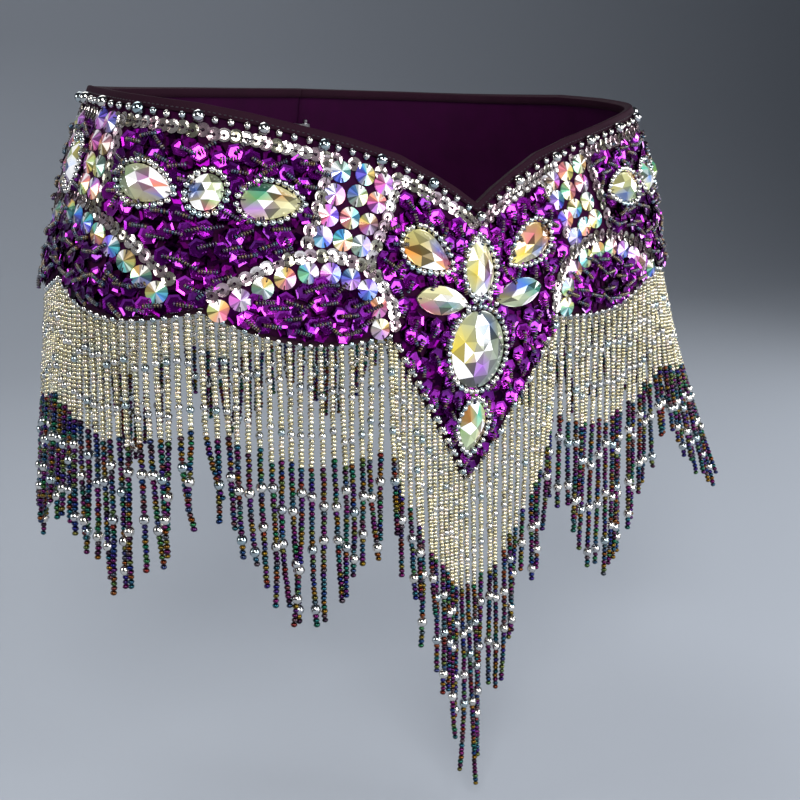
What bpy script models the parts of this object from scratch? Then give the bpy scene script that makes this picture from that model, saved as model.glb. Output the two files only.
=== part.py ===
"""Beaded dance hip belt: a front panel cut to a point, two scalloped wings that close at
the centre back, a folded top binding, bead fringe on narrow backings and set stones.

Frame: +Z up, the front faces -Y, the wearer's left is +X.  The origin lies in the middle
of the hollow where the hips hold the belt.  Places on the cloth are given by s, the
distance round the hips from the centre front (positive to the wearer's left, measured at
the height of HIP_LEVEL), by z, the height, and by out, the distance off the outer face.
"""
import math

import bmesh
import bpy
import numpy as np
from mathutils import Vector
from mathutils.geometry import delaunay_2d_cdt

MM = 0.001

# ---- the hips (mm) ----------------------------------------------------------------
HALF_WIDTH = 175.0            # at z = 0
WIDTH_FLARE = 0.31            # the half width grows downwards
WIDTH_TUCK = 0.0012           # and draws in towards the waist
FRONT_DEPTH = 86.0            # centre to the front, at z = 0
FRONT_FLARE = 0.20
BELLY_TUCK = 0.0013           # the front draws in again lower down
BACK_DEPTH = 108.0            # centre to the back, at z = 0
BACK_FLARE = 0.20
CORNER = 0.056                # how full the hips are between the front and the side
HIP_LEVEL = -40.0

# ---- cloth (mm) -------------------------------------------------------------------
WALL = 2.0                    # stiffened, sequinned cloth
SEAM_GAP = 0.3
SEAM_S = 51.0                 # seam between the front panel and a wing
BINDING_LEG = 5.0             # folded satin strip over the top edge
BINDING_WALL = 0.9
BINDING_GAP = 0.5
GRID_OUT = 10.0               # mesh step on the outer face
GRID_IN = 15.0                # mesh step on the plain inner face

# height of the finished top edge: s, z
TOP_EDGE = ((0, -13.5), (12.5, -5.5), (26, 1.5), (47, 11.2), (75, 18.9), (104, 25.0),
            (131, 30.4), (158, 34.8), (187, 38.0), (226, 41.6), (268, 44.5), (400, 47), (500, 48))

# hem of the front panel: s, z
FRONT_HEM = ((0, -162), (1.4, -162), (51.0, -79.5))

# the scallops of a wing's hem: s_from, s_to, z_from, z_to, drop
SCALLOPS = ((51.0, 146.5, -74.0, -56.0, 9.4),
            (146.5, 246.0, -56.0, -46.0, 8.5),
            (246.0, 345.5, -46.0, -56.0, 8.5),
            (345.5, 418.0, -56.0, -56.0, 12.0),
            (418.0, 510.0, -56.0, -56.0, 12.0))

# ---- round sew-on stones raised in the outer face (mm) -------------------------------
STONE_R = 5.0
STONE_RIM = 1.6
STONE_TOP = 2.6
STONE_SIDES = 8

# stone places on the wearer's left half: s, z
FRONT_GRID = ((81.3, 4.3), (68.3, 1.4), (56.9, -3.7),
              (82.8, -6.2), (70.0, -8.6), (58.8, -13.6),
              (85.6, -15.7), (75.2, -19.2), (63.8, -23.0),
              (89.8, -25.8), (79.0, -29.4), (68.2, -33.2))
FRONT_ARCH = ((59.2, -71.8), (60.6, -61.2), (66.5, -52.2), (75.7, -46.4), (86.2, -43.2),
              (97.5, -42.2), (108.8, -44.2), (119.2, -48.2), (129.4, -53.0), (138.8, -57.6))
SIDE_GRID = ((226.0, 28.0), (213.8, 26.5), (226.4, 17.9), (213.8, 16.4), (226.8, 7.8),
             (214.4, 6.2), (227.2, -2.3), (215.4, -4.0))
SIDE_ARCH = ((167.0, -48.8), (175.0, -41.9), (183.9, -35.3), (193.9, -29.3),
             (204.6, -24.2), (215.8, -20.0), (227.6, -17.0), (239.8, -15.2))
SIDE_MIDDLE = 246.0           # the side pieces repeat behind this place

# ---- set stones, one solid each (mm) ---------------------------------------------
STONE_LIFT = 0.8              # bed of thread and glue under a set stone
GIRDLE = 1.2                  # height of the rim above the bed
# turn runs from the s axis to the tip; tip sharpens the ends and taper thins the tip's half
# name, s, z, half_length, half_width, turn, tip, taper, height
MIDDLE_GEMS = (("gem_top_petal", -1.0, -45.6, 15.0, 8.6, 90, 1.45, 0.25, 5.0),
               ("gem_centre_oval", -2.2, -88.2, 20.6, 16.2, 90, 1.0, 0.0, 6.0),
               ("gem_drop", -2.2, -130.0, 14.4, 7.9, 270, 1.45, 0.1, 5.0))
# mirrored pairs, on the wearer's left
PAIR_GEMS = (("gem_pear", 33.0, -36.2, 15.4, 8.5, 212, 1.2, 0.4, 5.0),
             ("gem_side_petal", 24.3, -60.8, 15.3, 7.3, 190, 1.45, 0.15, 5.0),
             ("gem_row_drop", 117.6, -9.4, 14.8, 8.0, 185, 1.2, 0.3, 5.5),
             ("gem_row_round", 148.8, -4.6, 8.1, 8.1, 0, 1.0, 0.0, 5.0),
             ("gem_row_pear", 179.8, -1.0, 15.2, 7.9, 196, 1.3, 0.15, 5.5),
             ("gem_side_oval", 246.0, 7.0, 11.6, 8.4, 90, 1.0, 0.0, 5.0))

# ---- bead fringe (mm) --------------------------------------------------------------
STRAND = 2.2                  # width and depth of a strand's solid
BACKING_TALL = 3.0
BACKING_DEEP = 1.6
BACKING_GAP = 0.4
FRONT_BACKING_GAP = 0.7       # measured upright, below a steep edge
FRONT_PITCH = 4.0             # strands on the front panel's slanted edges
WING_PITCH = 5.2
# length of a strand: s, length
FRONT_LENGTH = ((0, 185), (8.4, 174), (15.8, 157), (31.5, 135), (50.5, 108))
WING_LENGTH = ((50.5, 101), (69.5, 117), (84, 134), (97, 147), (105, 141), (116, 132),
               (126.5, 118), (139, 100), (146.5, 89), (161, 103), (175.5, 122), (191, 138),
               (209, 122), (225, 113), (239.5, 117), (246, 110), (267, 112), (283, 121),
               (301, 138), (316.5, 121), (331, 100), (345.5, 84), (364, 99), (381.5, 114),
               (400, 98), (418, 82), (437, 98), (454, 112), (472, 98), (491, 84))
STEP_LENGTHS = (0.0, 3.0, -2.5, 1.5, -3.0)   # neighbouring strands differ a little
FRONT_STEPS = (-26.0, -4.0, 0.0, -14.0, 3.0)  # and more on the front
# how far a strand leans off the hips per unit of fall: s, lean
RIGHT_LEAN = ((0, 0.04), (50, 0.01), (105, 0.0), (150, 0.0), (190, 0.02), (225, 0.09),
              (246, 0.12), (345, 0.08), (491, 0.05))
LEFT_LEAN = ((0, 0.04), (50, 0.02), (106, 0.03), (127, 0.06), (140, 0.09), (148, 0.12),
             (162, 0.18), (176, 0.25), (192, 0.35), (215, 0.40), (246, 0.34), (345, 0.12),
             (491, 0.05))
LEFT_STRETCH = ((0, 1.0), (63, 1.0), (84, 1.1), (158, 1.1), (176, 1.12), (192, 1.14),
                (215, 1.12), (246, 1.05), (345, 1.0))

# ---- closing at the centre back (mm) --------------------------------------------------
HOOK_LEVELS = (24.0, -6.0, -36.0)
HOOK_WIDTH = 6.0
BAR_OPENING = 8.0
METAL = 0.8


def column(table, s):
    """Second column of a two-column table at |s|."""
    return float(np.interp(abs(s), [row[0] for row in table], [row[1] for row in table]))


# ---- the hip surface -------------------------------------------------------------------
def body(t, z):
    """Point of the hip surface at the angle t from the front, in mm."""
    wide = HALF_WIDTH - WIDTH_FLARE * z - WIDTH_TUCK * z * z
    deep = FRONT_DEPTH - FRONT_FLARE * z - BELLY_TUCK * z * z
    if math.cos(t) < 0:
        deep = BACK_DEPTH - BACK_FLARE * z
    aside = (math.sin(t) + CORNER * math.sin(3 * t)) / (1 - CORNER)
    ahead = (math.cos(t) - CORNER * math.cos(3 * t)) / (1 - CORNER)
    return Vector((wide * aside, -deep * ahead, z))


def girth_table():
    """Distance round the hips against the angle, at the hip level."""
    angles = np.linspace(-1.1 * math.pi, 1.1 * math.pi, 4401)
    points = np.array([body(a, HIP_LEVEL) for a in angles])
    length = np.concatenate([[0], np.cumsum(np.linalg.norm(np.diff(points, axis=0), axis=1))])
    return angles, length - np.interp(0, angles, length)


ANGLES, LENGTHS = girth_table()
HALF_GIRTH = float(np.interp(math.pi, ANGLES, LENGTHS))


def angle_at(s):
    """Angle from the front at the distance s round the hips."""
    return float(np.interp(s, LENGTHS, ANGLES))


def outward(s, z):
    """Unit normal of the hip surface."""
    t = angle_at(s)
    across = body(t + 0.002, z) - body(t - 0.002, z)
    upward = body(t, z + 0.5) - body(t, z - 0.5)
    return across.cross(upward).normalized()


def place(s, z, out):
    """World point, in metres, at s, z and the distance out off the cloth's outer face."""
    return (body(angle_at(s), z) + outward(s, z) * out) * MM


# ---- edges of the cut pieces -----------------------------------------------------------
def top_edge(s):
    return column(TOP_EDGE, s)


def front_hem(s):
    return column(FRONT_HEM, s)


def wing_hem(s):
    """Height of a wing's hem: a run of round scallops."""
    s = abs(s)
    for s_from, s_to, z_from, z_to, drop in SCALLOPS:
        if s <= s_to:
            end = s_to
            if s_to > HALF_GIRTH:
                end = HALF_GIRTH
            u = (s - s_from) / (end - s_from)
            return z_from + (z_to - z_from) * u - drop * math.sin(math.pi * u)
    return SCALLOPS[-1][3]


def steps(a, b, size):
    """Evenly spread values from a to b no further apart than size."""
    return np.linspace(a, b, max(1, math.ceil(abs(b - a) / size)) + 1)


# ---- mesh helpers -----------------------------------------------------------------------
SOLIDS = bpy.data.collections.new("dance_hip_belt")


def material(name, colour, roughness, metallic=0.0):
    """A plain Principled material."""
    made = bpy.data.materials.new(name)
    made.use_nodes = True
    shader = made.node_tree.nodes["Principled BSDF"]
    shader.inputs["Base Color"].default_value = (*colour, 1.0)
    shader.inputs["Roughness"].default_value = roughness
    shader.inputs["Metallic"].default_value = metallic
    return made


def solid(name, points, faces, look):
    """One named closed solid with its own material."""
    mesh = bpy.data.meshes.new(name)
    mesh.from_pydata([tuple(p) for p in points], [], faces)
    skin = bmesh.new()
    skin.from_mesh(mesh)
    bmesh.ops.recalc_face_normals(skin, faces=skin.faces)
    skin.to_mesh(mesh)
    skin.free()
    mesh.update()
    made = bpy.data.objects.new(name, mesh)
    SOLIDS.objects.link(made)
    mesh.materials.append(material(name + "_look", *look))
    return made


def loft(name, rings, look):
    """Solid through rings of equal length, closed by a face at each end."""
    n = len(rings[0])
    points = [p for ring in rings for p in ring]
    faces = [tuple(range(n))[::-1]]
    for k in range(len(rings) - 1):
        for i in range(n):
            j = (i + 1) % n
            faces.append((k * n + i, k * n + j, (k + 1) * n + j, (k + 1) * n + i))
    faces.append(tuple((len(rings) - 1) * n + i for i in range(n)))
    return solid(name, points, faces, look)


def inside(outline, s, z, margin):
    """True where a point lies in the outline and clear of its edge."""
    hit = False
    near = 1e9
    for k, (s1, z1) in enumerate(outline):
        s2, z2 = outline[(k + 1) % len(outline)]
        if (z1 > z) != (z2 > z) and s < s1 + (z - z1) * (s2 - s1) / (z2 - z1):
            hit = not hit
        run = (s2 - s1) ** 2 + (z2 - z1) ** 2
        u = min(1.0, max(0.0, ((s - s1) * (s2 - s1) + (z - z1) * (z2 - z1)) / run))
        near = min(near, math.hypot(s - s1 - u * (s2 - s1), z - z1 - u * (z2 - z1)))
    return hit and near > margin


def triangles(outline, extra):
    """Triangles over the outline through the extra points."""
    flat = [Vector(p) for p in outline] + [Vector(p) for p in extra]
    loop = [(k, (k + 1) % len(outline)) for k in range(len(outline))]
    _, _, faces, origin, _, _ = delaunay_2d_cdt(flat, loop, [], 1, 1e-4)
    return [tuple(origin[i][0] for i in face) for face in faces]


def filling(outline, step, stones, margin):
    """Points of an even lattice inside the outline and clear of the stones."""
    low_s, high_s = min(p[0] for p in outline), max(p[0] for p in outline)
    low_z, high_z = min(p[1] for p in outline), max(p[1] for p in outline)
    found = []
    for row, z in enumerate(np.arange(low_z, high_z, step * 0.9)):
        for s in np.arange(low_s + step * 0.5 * (row % 2), high_s, step):
            clear = all(math.hypot(s - a, z - b) > STONE_R + 2.6 for a, b in stones)
            if clear and inside(outline, s, z, margin):
                found.append((float(s), float(z)))
    return found


def cloth_panel(name, outline, stones, look):
    """Cloth wall: raised stones in the outer face, a plain inner face."""
    extra = filling(outline, GRID_OUT, stones, GRID_OUT * 0.4)
    lifts = [0.0] * (len(outline) + len(extra))
    for s, z in stones:
        for radius, lift in ((STONE_R + 0.2, 0.0), (STONE_R, STONE_RIM)):
            for k in range(STONE_SIDES):
                a = math.tau * (k + 0.5) / STONE_SIDES
                extra.append((s + radius * math.cos(a), z + radius * math.sin(a)))
                lifts.append(lift)
        extra.append((s, z))
        lifts.append(STONE_TOP)
    outer = triangles(outline, extra)
    points = [place(s, z, lift) for (s, z), lift in zip(list(outline) + extra, lifts)]
    first = len(points)
    plain = filling(outline, GRID_IN, (), GRID_IN * 0.4)
    inner = triangles(outline, plain)
    points += [place(s, z, -WALL) for s, z in list(outline) + plain]
    faces = list(outer)
    faces += [tuple(first + i for i in reversed(face)) for face in inner]
    n = len(outline)
    for k in range(n):
        j = (k + 1) % n
        faces.append((j, k, first + k, first + j))
    return solid(name, points, faces, look)


# ---- cut pieces ---------------------------------------------------------------------------
CLOTH = ((0.16, 0.01, 0.20), 0.45)
SATIN = ((0.05, 0.006, 0.04), 0.5)
CRYSTAL = ((0.80, 0.76, 0.70), 0.08)
BEADS = ((0.38, 0.34, 0.32), 0.25)
STEEL = ((0.70, 0.70, 0.72), 0.3, 1.0)

EDGE_DOWN = BINDING_WALL + BINDING_GAP


def front_outline():
    """Cut of the front panel, run anticlockwise in s and z."""
    s_end = SEAM_S - SEAM_GAP / 2
    slant = [float(s) for s in np.linspace(1.4, s_end, 7)]
    lower = [(s, front_hem(s)) for s in [-s for s in reversed(slant)] + slant]
    upper = [(float(s), top_edge(s) - EDGE_DOWN) for s in binding_stations(-s_end, s_end)]
    right = [(s_end, float(z)) for z in steps(lower[-1][1], upper[-1][1], GRID_OUT)[1:-1]]
    left = [(-s, z) for s, z in reversed(right)]
    return lower + right + upper[::-1] + left


def wing_outline(side):
    """Cut of a wing from the front seam to the centre back."""
    s_from = SEAM_S + SEAM_GAP / 2
    s_to = HALF_GIRTH - SEAM_GAP
    ends = [s_from] + [row[1] for row in SCALLOPS[:-1]] + [s_to]
    marks = [s_from]
    for a, b in zip(ends, ends[1:]):
        marks += [float(s) for s in steps(a, b, 9.0)[1:]]
    lower = [(s, wing_hem(s)) for s in marks]
    upper = [(s, top_edge(s) - EDGE_DOWN) for s in binding_stations(s_from, s_to)]
    back = [(s_to, float(z)) for z in steps(lower[-1][1], upper[-1][1], GRID_OUT)[1:-1]]
    front = [(s_from, float(z)) for z in steps(upper[0][1], lower[0][1], GRID_OUT)[1:-1]]
    outline = lower + back + upper[::-1] + front
    if side < 0:
        outline = [(-s, z) for s, z in reversed(outline)]
    return outline


def binding_stations(s_from, s_to):
    """Shared places along the top edge, so that binding and panels follow one line."""
    marks = [0.0, 12.0, 25.0, 36.0]
    marks += [float(s) for s in steps(SEAM_S + SEAM_GAP / 2, HALF_GIRTH - SEAM_GAP, 9.6)]
    marks.append(SEAM_S - SEAM_GAP / 2)
    full = sorted(set(marks + [-m for m in marks]))
    return [s for s in full if s_from - 1e-6 <= s <= s_to + 1e-6]


def top_binding():
    """Folded strip over the top edge from centre back to centre back."""
    rings = []
    wall, gap = BINDING_WALL, BINDING_GAP
    for s in binding_stations(-HALF_GIRTH, HALF_GIRTH):
        z = top_edge(s)
        fold = z - wall
        low = z - BINDING_LEG
        section = ((gap, low), (gap + wall, low), (gap + wall, z - 0.4),
                   (gap + wall - 0.4, z), (-WALL - gap - wall + 0.4, z),
                   (-WALL - gap - wall, z - 0.4), (-WALL - gap - wall, low),
                   (-WALL - gap, low), (-WALL - gap, fold), (gap, fold))
        rings.append([place(s, height, out) for out, height in section])
    return loft("top_binding", rings, SATIN)


def mirrored(places):
    return [(-s, z) for s, z in places]


def wing_stones():
    """Round stones of a wing: the side arch and grid repeat behind the side of the hip."""
    found = list(FRONT_GRID) + list(FRONT_ARCH)
    behind = 2 * SIDE_MIDDLE
    for s, z in SIDE_GRID + SIDE_ARCH:
        found += [(s, z), (behind - s, z)]
    return found


# ---- set stones ------------------------------------------------------------------------------
def gem_outline(half_length, half_width, turn, tip, taper):
    """Rim of a stone about its centre, from an oval to a drop with a tip."""
    turns = [math.tau * k / 16 for k in range(16)]
    widths = [math.copysign(abs(math.sin(a)) ** tip, math.sin(a)) * (1 - taper * math.cos(a))
              for a in turns]
    widest = max(widths)
    c, d = math.cos(math.radians(turn)), math.sin(math.radians(turn))
    rim = []
    for a, width in zip(turns, widths):
        along, across = half_length * math.cos(a), half_width * width / widest
        rim.append((along * c - across * d, along * d + across * c))
    return rim


def gem(name, s, z, half_length, half_width, turn, tip, taper, height):
    """Cut stone: bed, rim, bevelled crown and flat table."""
    rim = gem_outline(half_length, half_width, turn, tip, taper)
    levels = ((0.45, 0.0), (1.0, 0.0), (1.0, GIRDLE), (0.8, height * 0.72), (0.5, height))
    rings = [[place(s + a * scale, z + b * scale, STONE_LIFT + out) for a, b in rim]
             for scale, out in levels]
    return loft(name, rings, CRYSTAL)


# ---- fringe -----------------------------------------------------------------------------------
def lean(s):
    return column(LEFT_LEAN if s > 0 else RIGHT_LEAN, s)


def strand_length(s, number):
    """Length of a strand below the hem; scallop by scallop the ends draw to a point."""
    if abs(s) < SEAM_S:
        return column(FRONT_LENGTH, s) + FRONT_STEPS[number % 5]
    length = column(WING_LENGTH, s) + STEP_LENGTHS[number % 5]
    if s > 0:
        length *= column(LEFT_STRETCH, s)
    return length


def fringe(name, places, hem, gap, look):
    """Backing strip along the hem with strands drawn down from its lower face."""
    half = STRAND / 2
    marks = []
    for s in places:
        marks += [s - half, s + half]
    inner, outer = -WALL + (WALL - BACKING_DEEP) / 2, -(WALL - BACKING_DEEP) / 2
    points = []
    for s in marks:
        high = hem(s) - gap
        low = high - BACKING_TALL
        points += [place(s, high, inner), place(s, low, inner), place(s, low, outer),
                   place(s, high, outer)]
    faces = [(3, 2, 1, 0)]
    for k in range(len(marks) - 1):
        a, b = 4 * k, 4 * (k + 1)
        for i, j in ((0, 1), (2, 3), (3, 0)):
            faces.append((a + i, a + j, b + j, b + i))
        if k % 2:
            faces.append((a + 1, a + 2, b + 2, b + 1))
            continue
        s = places[k // 2]
        n = outward(s, hem(s))
        fall = Vector((n.x, n.y, 0)).normalized() * lean(s) - Vector((0, 0, 1))
        fall = fall.normalized() * MM
        length = strand_length(s, k // 2)
        ring = [a + 1, a + 2, b + 2, b + 1]
        for _ in range(2):
            start = len(points)
            foot_z = min(points[i].z for i in ring)
            for i in ring:
                level = points[i].z - foot_z
                points.append(points[i] + fall * (length * 0.5 + level / MM))
            fresh = list(range(start, start + 4))
            for i in range(4):
                j = (i + 1) % 4
                faces.append((ring[i], ring[j], fresh[j], fresh[i]))
            ring = fresh
        faces.append(tuple(ring))
    end = 4 * (len(marks) - 1)
    faces.append((end, end + 1, end + 2, end + 3))
    return solid(name, points, faces, look)


def strand_places(s_from, s_to, pitch):
    count = int((s_to - s_from) / pitch)
    return [float(s) for s in np.linspace(s_from, s_to, count + 1)]


# ---- closing ------------------------------------------------------------------------------------
def drawn(name, profile, spread, rows, look):
    """Bent metal: a profile of places carried through the two ends given in spread."""
    rings = [[place(*rows(a, b, end)) for a, b in profile] for end in spread]
    return loft(name, rings, look)


def hook(name, level):
    """Flat hook on the right back end; its tongue turns round the bar."""
    face = -WALL - 0.4
    profile = ((-14.0, face), (-2.6, face), (-0.6, face - 2.4), (6.8, face - 2.4),
               (6.8, face - 1.1), (3.4, face - 1.1), (3.4, face - 0.4), (7.6, face - 0.4),
               (7.6, face - 3.2), (-1.0, face - 3.2), (-3.0, face - METAL),
               (-14.0, face - METAL))
    half = HOOK_WIDTH / 2
    return drawn(name, profile, (level - half, level + half),
                 lambda a, b, end: (-HALF_GIRTH - a, end, b), STEEL)


def bar(name, level):
    """Bar on the left back end that the hook's tongue holds."""
    face = -WALL - 0.4
    low, high = face - 1.5, face - 2.0
    half, foot = BAR_OPENING / 2, 1.4
    profile = ((-half - foot, face), (-half, face), (-half, low), (half, low), (half, face),
               (half + foot, face), (half + foot, high), (-half - foot, high))
    return drawn(name, profile, (HALF_GIRTH - 6.2, HALF_GIRTH - 4.4),
                 lambda a, b, end: (end, level + a, b), STEEL)


# ---- put together ----------------------------------------------------------------------------------
def build():
    for old in list(bpy.data.objects):
        bpy.data.objects.remove(old)
    bpy.context.scene.collection.children.link(SOLIDS)

    cloth_panel("front_panel", front_outline(), (), CLOTH)
    cloth_panel("wing_left", wing_outline(1), wing_stones(), CLOTH)
    cloth_panel("wing_right", wing_outline(-1), mirrored(wing_stones()), CLOTH)
    top_binding()

    for row in MIDDLE_GEMS:
        gem(*row)
    for name, s, z, half_length, half_width, turn, tip, taper, height in PAIR_GEMS:
        cut = (tip, taper, height)
        gem(name + "_left", s, z, half_length, half_width, turn, *cut)
        gem(name + "_right", -s, z, half_length, half_width, 180 - turn, *cut)

    reach = SEAM_S - STRAND / 2 - 0.4
    fringe("fringe_front", strand_places(-reach, reach, FRONT_PITCH), front_hem,
           FRONT_BACKING_GAP, BEADS)
    first, last = SEAM_S + STRAND / 2 + 0.6, HALF_GIRTH - STRAND / 2 - 0.6
    left = strand_places(first, last, WING_PITCH)
    fringe("fringe_left", left, wing_hem, BACKING_GAP, BEADS)
    fringe("fringe_right", [-s for s in reversed(left)], wing_hem, BACKING_GAP, BEADS)

    for number, level in enumerate(HOOK_LEVELS, 1):
        hook("hook_%d" % number, level)
        bar("bar_%d" % number, level)


build()
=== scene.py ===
import math
import random
from collections import namedtuple

import bmesh
import bpy
import numpy as np
from mathutils import Matrix, Vector


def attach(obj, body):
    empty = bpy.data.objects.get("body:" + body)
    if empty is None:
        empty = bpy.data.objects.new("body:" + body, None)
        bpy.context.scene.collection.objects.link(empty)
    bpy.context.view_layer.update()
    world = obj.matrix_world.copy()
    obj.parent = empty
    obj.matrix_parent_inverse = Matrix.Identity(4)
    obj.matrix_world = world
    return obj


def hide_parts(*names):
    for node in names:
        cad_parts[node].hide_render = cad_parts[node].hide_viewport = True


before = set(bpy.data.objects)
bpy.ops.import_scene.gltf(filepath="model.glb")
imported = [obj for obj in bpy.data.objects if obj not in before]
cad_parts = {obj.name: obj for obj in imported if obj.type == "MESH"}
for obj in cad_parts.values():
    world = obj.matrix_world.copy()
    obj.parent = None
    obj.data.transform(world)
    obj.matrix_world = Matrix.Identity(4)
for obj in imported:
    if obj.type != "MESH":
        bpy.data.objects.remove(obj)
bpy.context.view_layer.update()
print("frame loaded")

mm = 0.001    # sizes and places below are in mm, angles of the stones and the camera in degrees

# the hips that the belt is worn on, as in the part's source
hips = {
    "halfWidth": 175.0, "widthFlare": 0.31, "widthTuck": 0.0012,
    "frontDepth": 86.0, "frontFlare": 0.20, "bellyTuck": 0.0013,
    "backDepth": 108.0, "backFlare": 0.20,
    "corner": 0.056, "level": -40.0, "steps": 4401, "reach": 1.1,
}

# sizes that all pieces share: s runs along the hips from the middle of the front, to the wearer's left
belt = {
    "wall": 2.0, "seam": 51.0, "seamGap": 0.3, "backGap": 0.3,
    "bindingLeg": 5.0, "bindingWall": 0.9, "bindingGap": 0.5,
    # s, and z of the finished top edge
    "topEdge": ((0, -13.5), (12.5, -5.5), (26, 1.5), (47, 11.2), (75, 18.9), (104, 25.0),
                (131, 30.4), (158, 34.8), (187, 38.0), (226, 41.6), (268, 44.5), (400, 47), (500, 48)),
    "frontHem": ((0, -162), (1.4, -162), (51.0, -79.5)),
    # from s, to s, from z, to z, drop
    "scallops": ((51.0, 146.5, -74.0, -56.0, 9.4), (146.5, 246.0, -56.0, -46.0, 8.5),
                 (246.0, 345.5, -46.0, -56.0, 8.5), (345.5, 418.0, -56.0, -56.0, 12.0),
                 (418.0, 510.0, -56.0, -56.0, 12.0)),
    "sideMiddle": 246.0,
}


def bodyPoint(t, z):
    # points on the hips at the angle t and height z, with the directions across, up and outwards
    t, z = np.asarray(t, float), np.asarray(z, float)
    front, q = np.cos(t) > 0, hips["corner"]
    wide = hips["halfWidth"] - hips["widthFlare"] * z - hips["widthTuck"] * z * z
    dWide = -hips["widthFlare"] - 2 * hips["widthTuck"] * z
    deep = np.where(front, hips["frontDepth"] - hips["frontFlare"] * z - hips["bellyTuck"] * z * z,
                    hips["backDepth"] - hips["backFlare"] * z)
    dDeep = np.where(front, -hips["frontFlare"] - 2 * hips["bellyTuck"] * z, -hips["backFlare"])
    aside = (np.sin(t) + q * np.sin(3 * t)) / (1 - q)
    ahead = (np.cos(t) - q * np.cos(3 * t)) / (1 - q)
    point = np.stack([wide * aside, -deep * ahead, z + 0 * t], -1)
    across = np.stack([wide * (np.cos(t) + 3 * q * np.cos(3 * t)),
                       deep * (np.sin(t) - 3 * q * np.sin(3 * t)), 0 * t], -1)
    upward = np.stack([dWide * aside, -dDeep * ahead, 1 + 0 * t], -1)
    normal = np.cross(across, upward)
    across /= np.linalg.norm(across, axis=-1, keepdims=True)
    normal /= np.linalg.norm(normal, axis=-1, keepdims=True)
    return point, across, np.cross(normal, across), normal


# s for each angle round the hips, measured at one level
angles = np.linspace(-hips["reach"] * math.pi, hips["reach"] * math.pi, hips["steps"])
ringPoints = bodyPoint(angles, np.full(hips["steps"], hips["level"]))[0]
ringLengths = np.concatenate([[0], np.cumsum(np.linalg.norm(np.diff(ringPoints, axis=0), axis=1))])
ringLengths -= np.interp(0, angles, ringLengths)
halfGirth = float(np.interp(math.pi, angles, ringLengths))


def place(s, z, out=0.0):
    # points in metres at s, z and out off the cloth, with the directions across, up and outwards
    s, z = np.broadcast_arrays(np.asarray(s, float), np.asarray(z, float))
    point, across, up, normal = bodyPoint(np.interp(s, ringLengths, angles), z)
    point = point + normal * np.broadcast_to(np.asarray(out, float), s.shape)[..., None]
    return point * mm, np.stack([across, up, normal], -1)


def column(table, s):
    # value of a table at s, the same on both sides
    return np.interp(np.abs(s), [row[0] for row in table], [row[1] for row in table])


def topEdge(s):
    return column(belt["topEdge"], s)


def frontHem(s):
    return column(belt["frontHem"], s)


def wingHem(s):
    s = np.abs(np.asarray(s, float))
    z = np.zeros(s.shape)
    for sFrom, sTo, zFrom, zTo, drop in reversed(belt["scallops"]):
        u = (s - sFrom) / (min(sTo, halfGirth) - sFrom)
        z = np.where(s <= sTo, zFrom + (zTo - zFrom) * u - drop * np.sin(math.pi * u), z)
    return z


def evenly(points, pitch, closed=False):
    # places spread evenly along a path of (s, z)
    points = np.asarray(points, float)
    if closed:
        points = np.vstack([points, points[:1]])
    run = np.concatenate([[0], np.cumsum(np.linalg.norm(np.diff(points, axis=0), axis=1))])
    count = max(2, int(round(run[-1] / pitch)))
    at = np.linspace(0, run[-1], count + 1)
    at = at[:-1] if closed else at
    return np.stack([np.interp(at, run, points[:, 0]), np.interp(at, run, points[:, 1])], -1)


def belowTop(s, drop):
    # path that runs below the top edge
    return np.stack([s, topEdge(s) - drop], -1)


def pathTurns(path):
    # angle at which a path of (s, z) runs at each of its places
    run = np.gradient(path, axis=0)
    return np.arctan2(run[:, 1], run[:, 0])


def offsetPath(path, distance):
    path = np.asarray(path, float)
    run = np.gradient(path, axis=0)
    run /= np.linalg.norm(run, axis=1, keepdims=True)
    return path + np.stack([-run[:, 1], run[:, 0]], -1) * distance


def acrossSide(spot):
    # the same place behind the side line
    return (2 * belt["sideMiddle"] - spot[0], spot[1])


def nearest(spots, places):
    # distance from each spot to the nearest of the places
    aside = spots[:, None, 0] - places[None, :, 0]
    above = spots[:, None, 1] - places[None, :, 1]
    return np.min(np.hypot(aside, above), 1)


# shader wiring
class Wire:
    def __init__(self, finish, socket):
        self.finish, self.socket = finish, socket

    def work(self, operation, first, second):
        return self.finish.node("ShaderNodeMath", {"operation": operation}, {0: first, 1: second})

    def __add__(self, other):
        return self.work("ADD", self, other)

    def __radd__(self, other):
        return self.work("ADD", other, self)

    def __mul__(self, other):
        return self.work("MULTIPLY", self, other)

    def __rmul__(self, other):
        return self.work("MULTIPLY", other, self)


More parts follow.
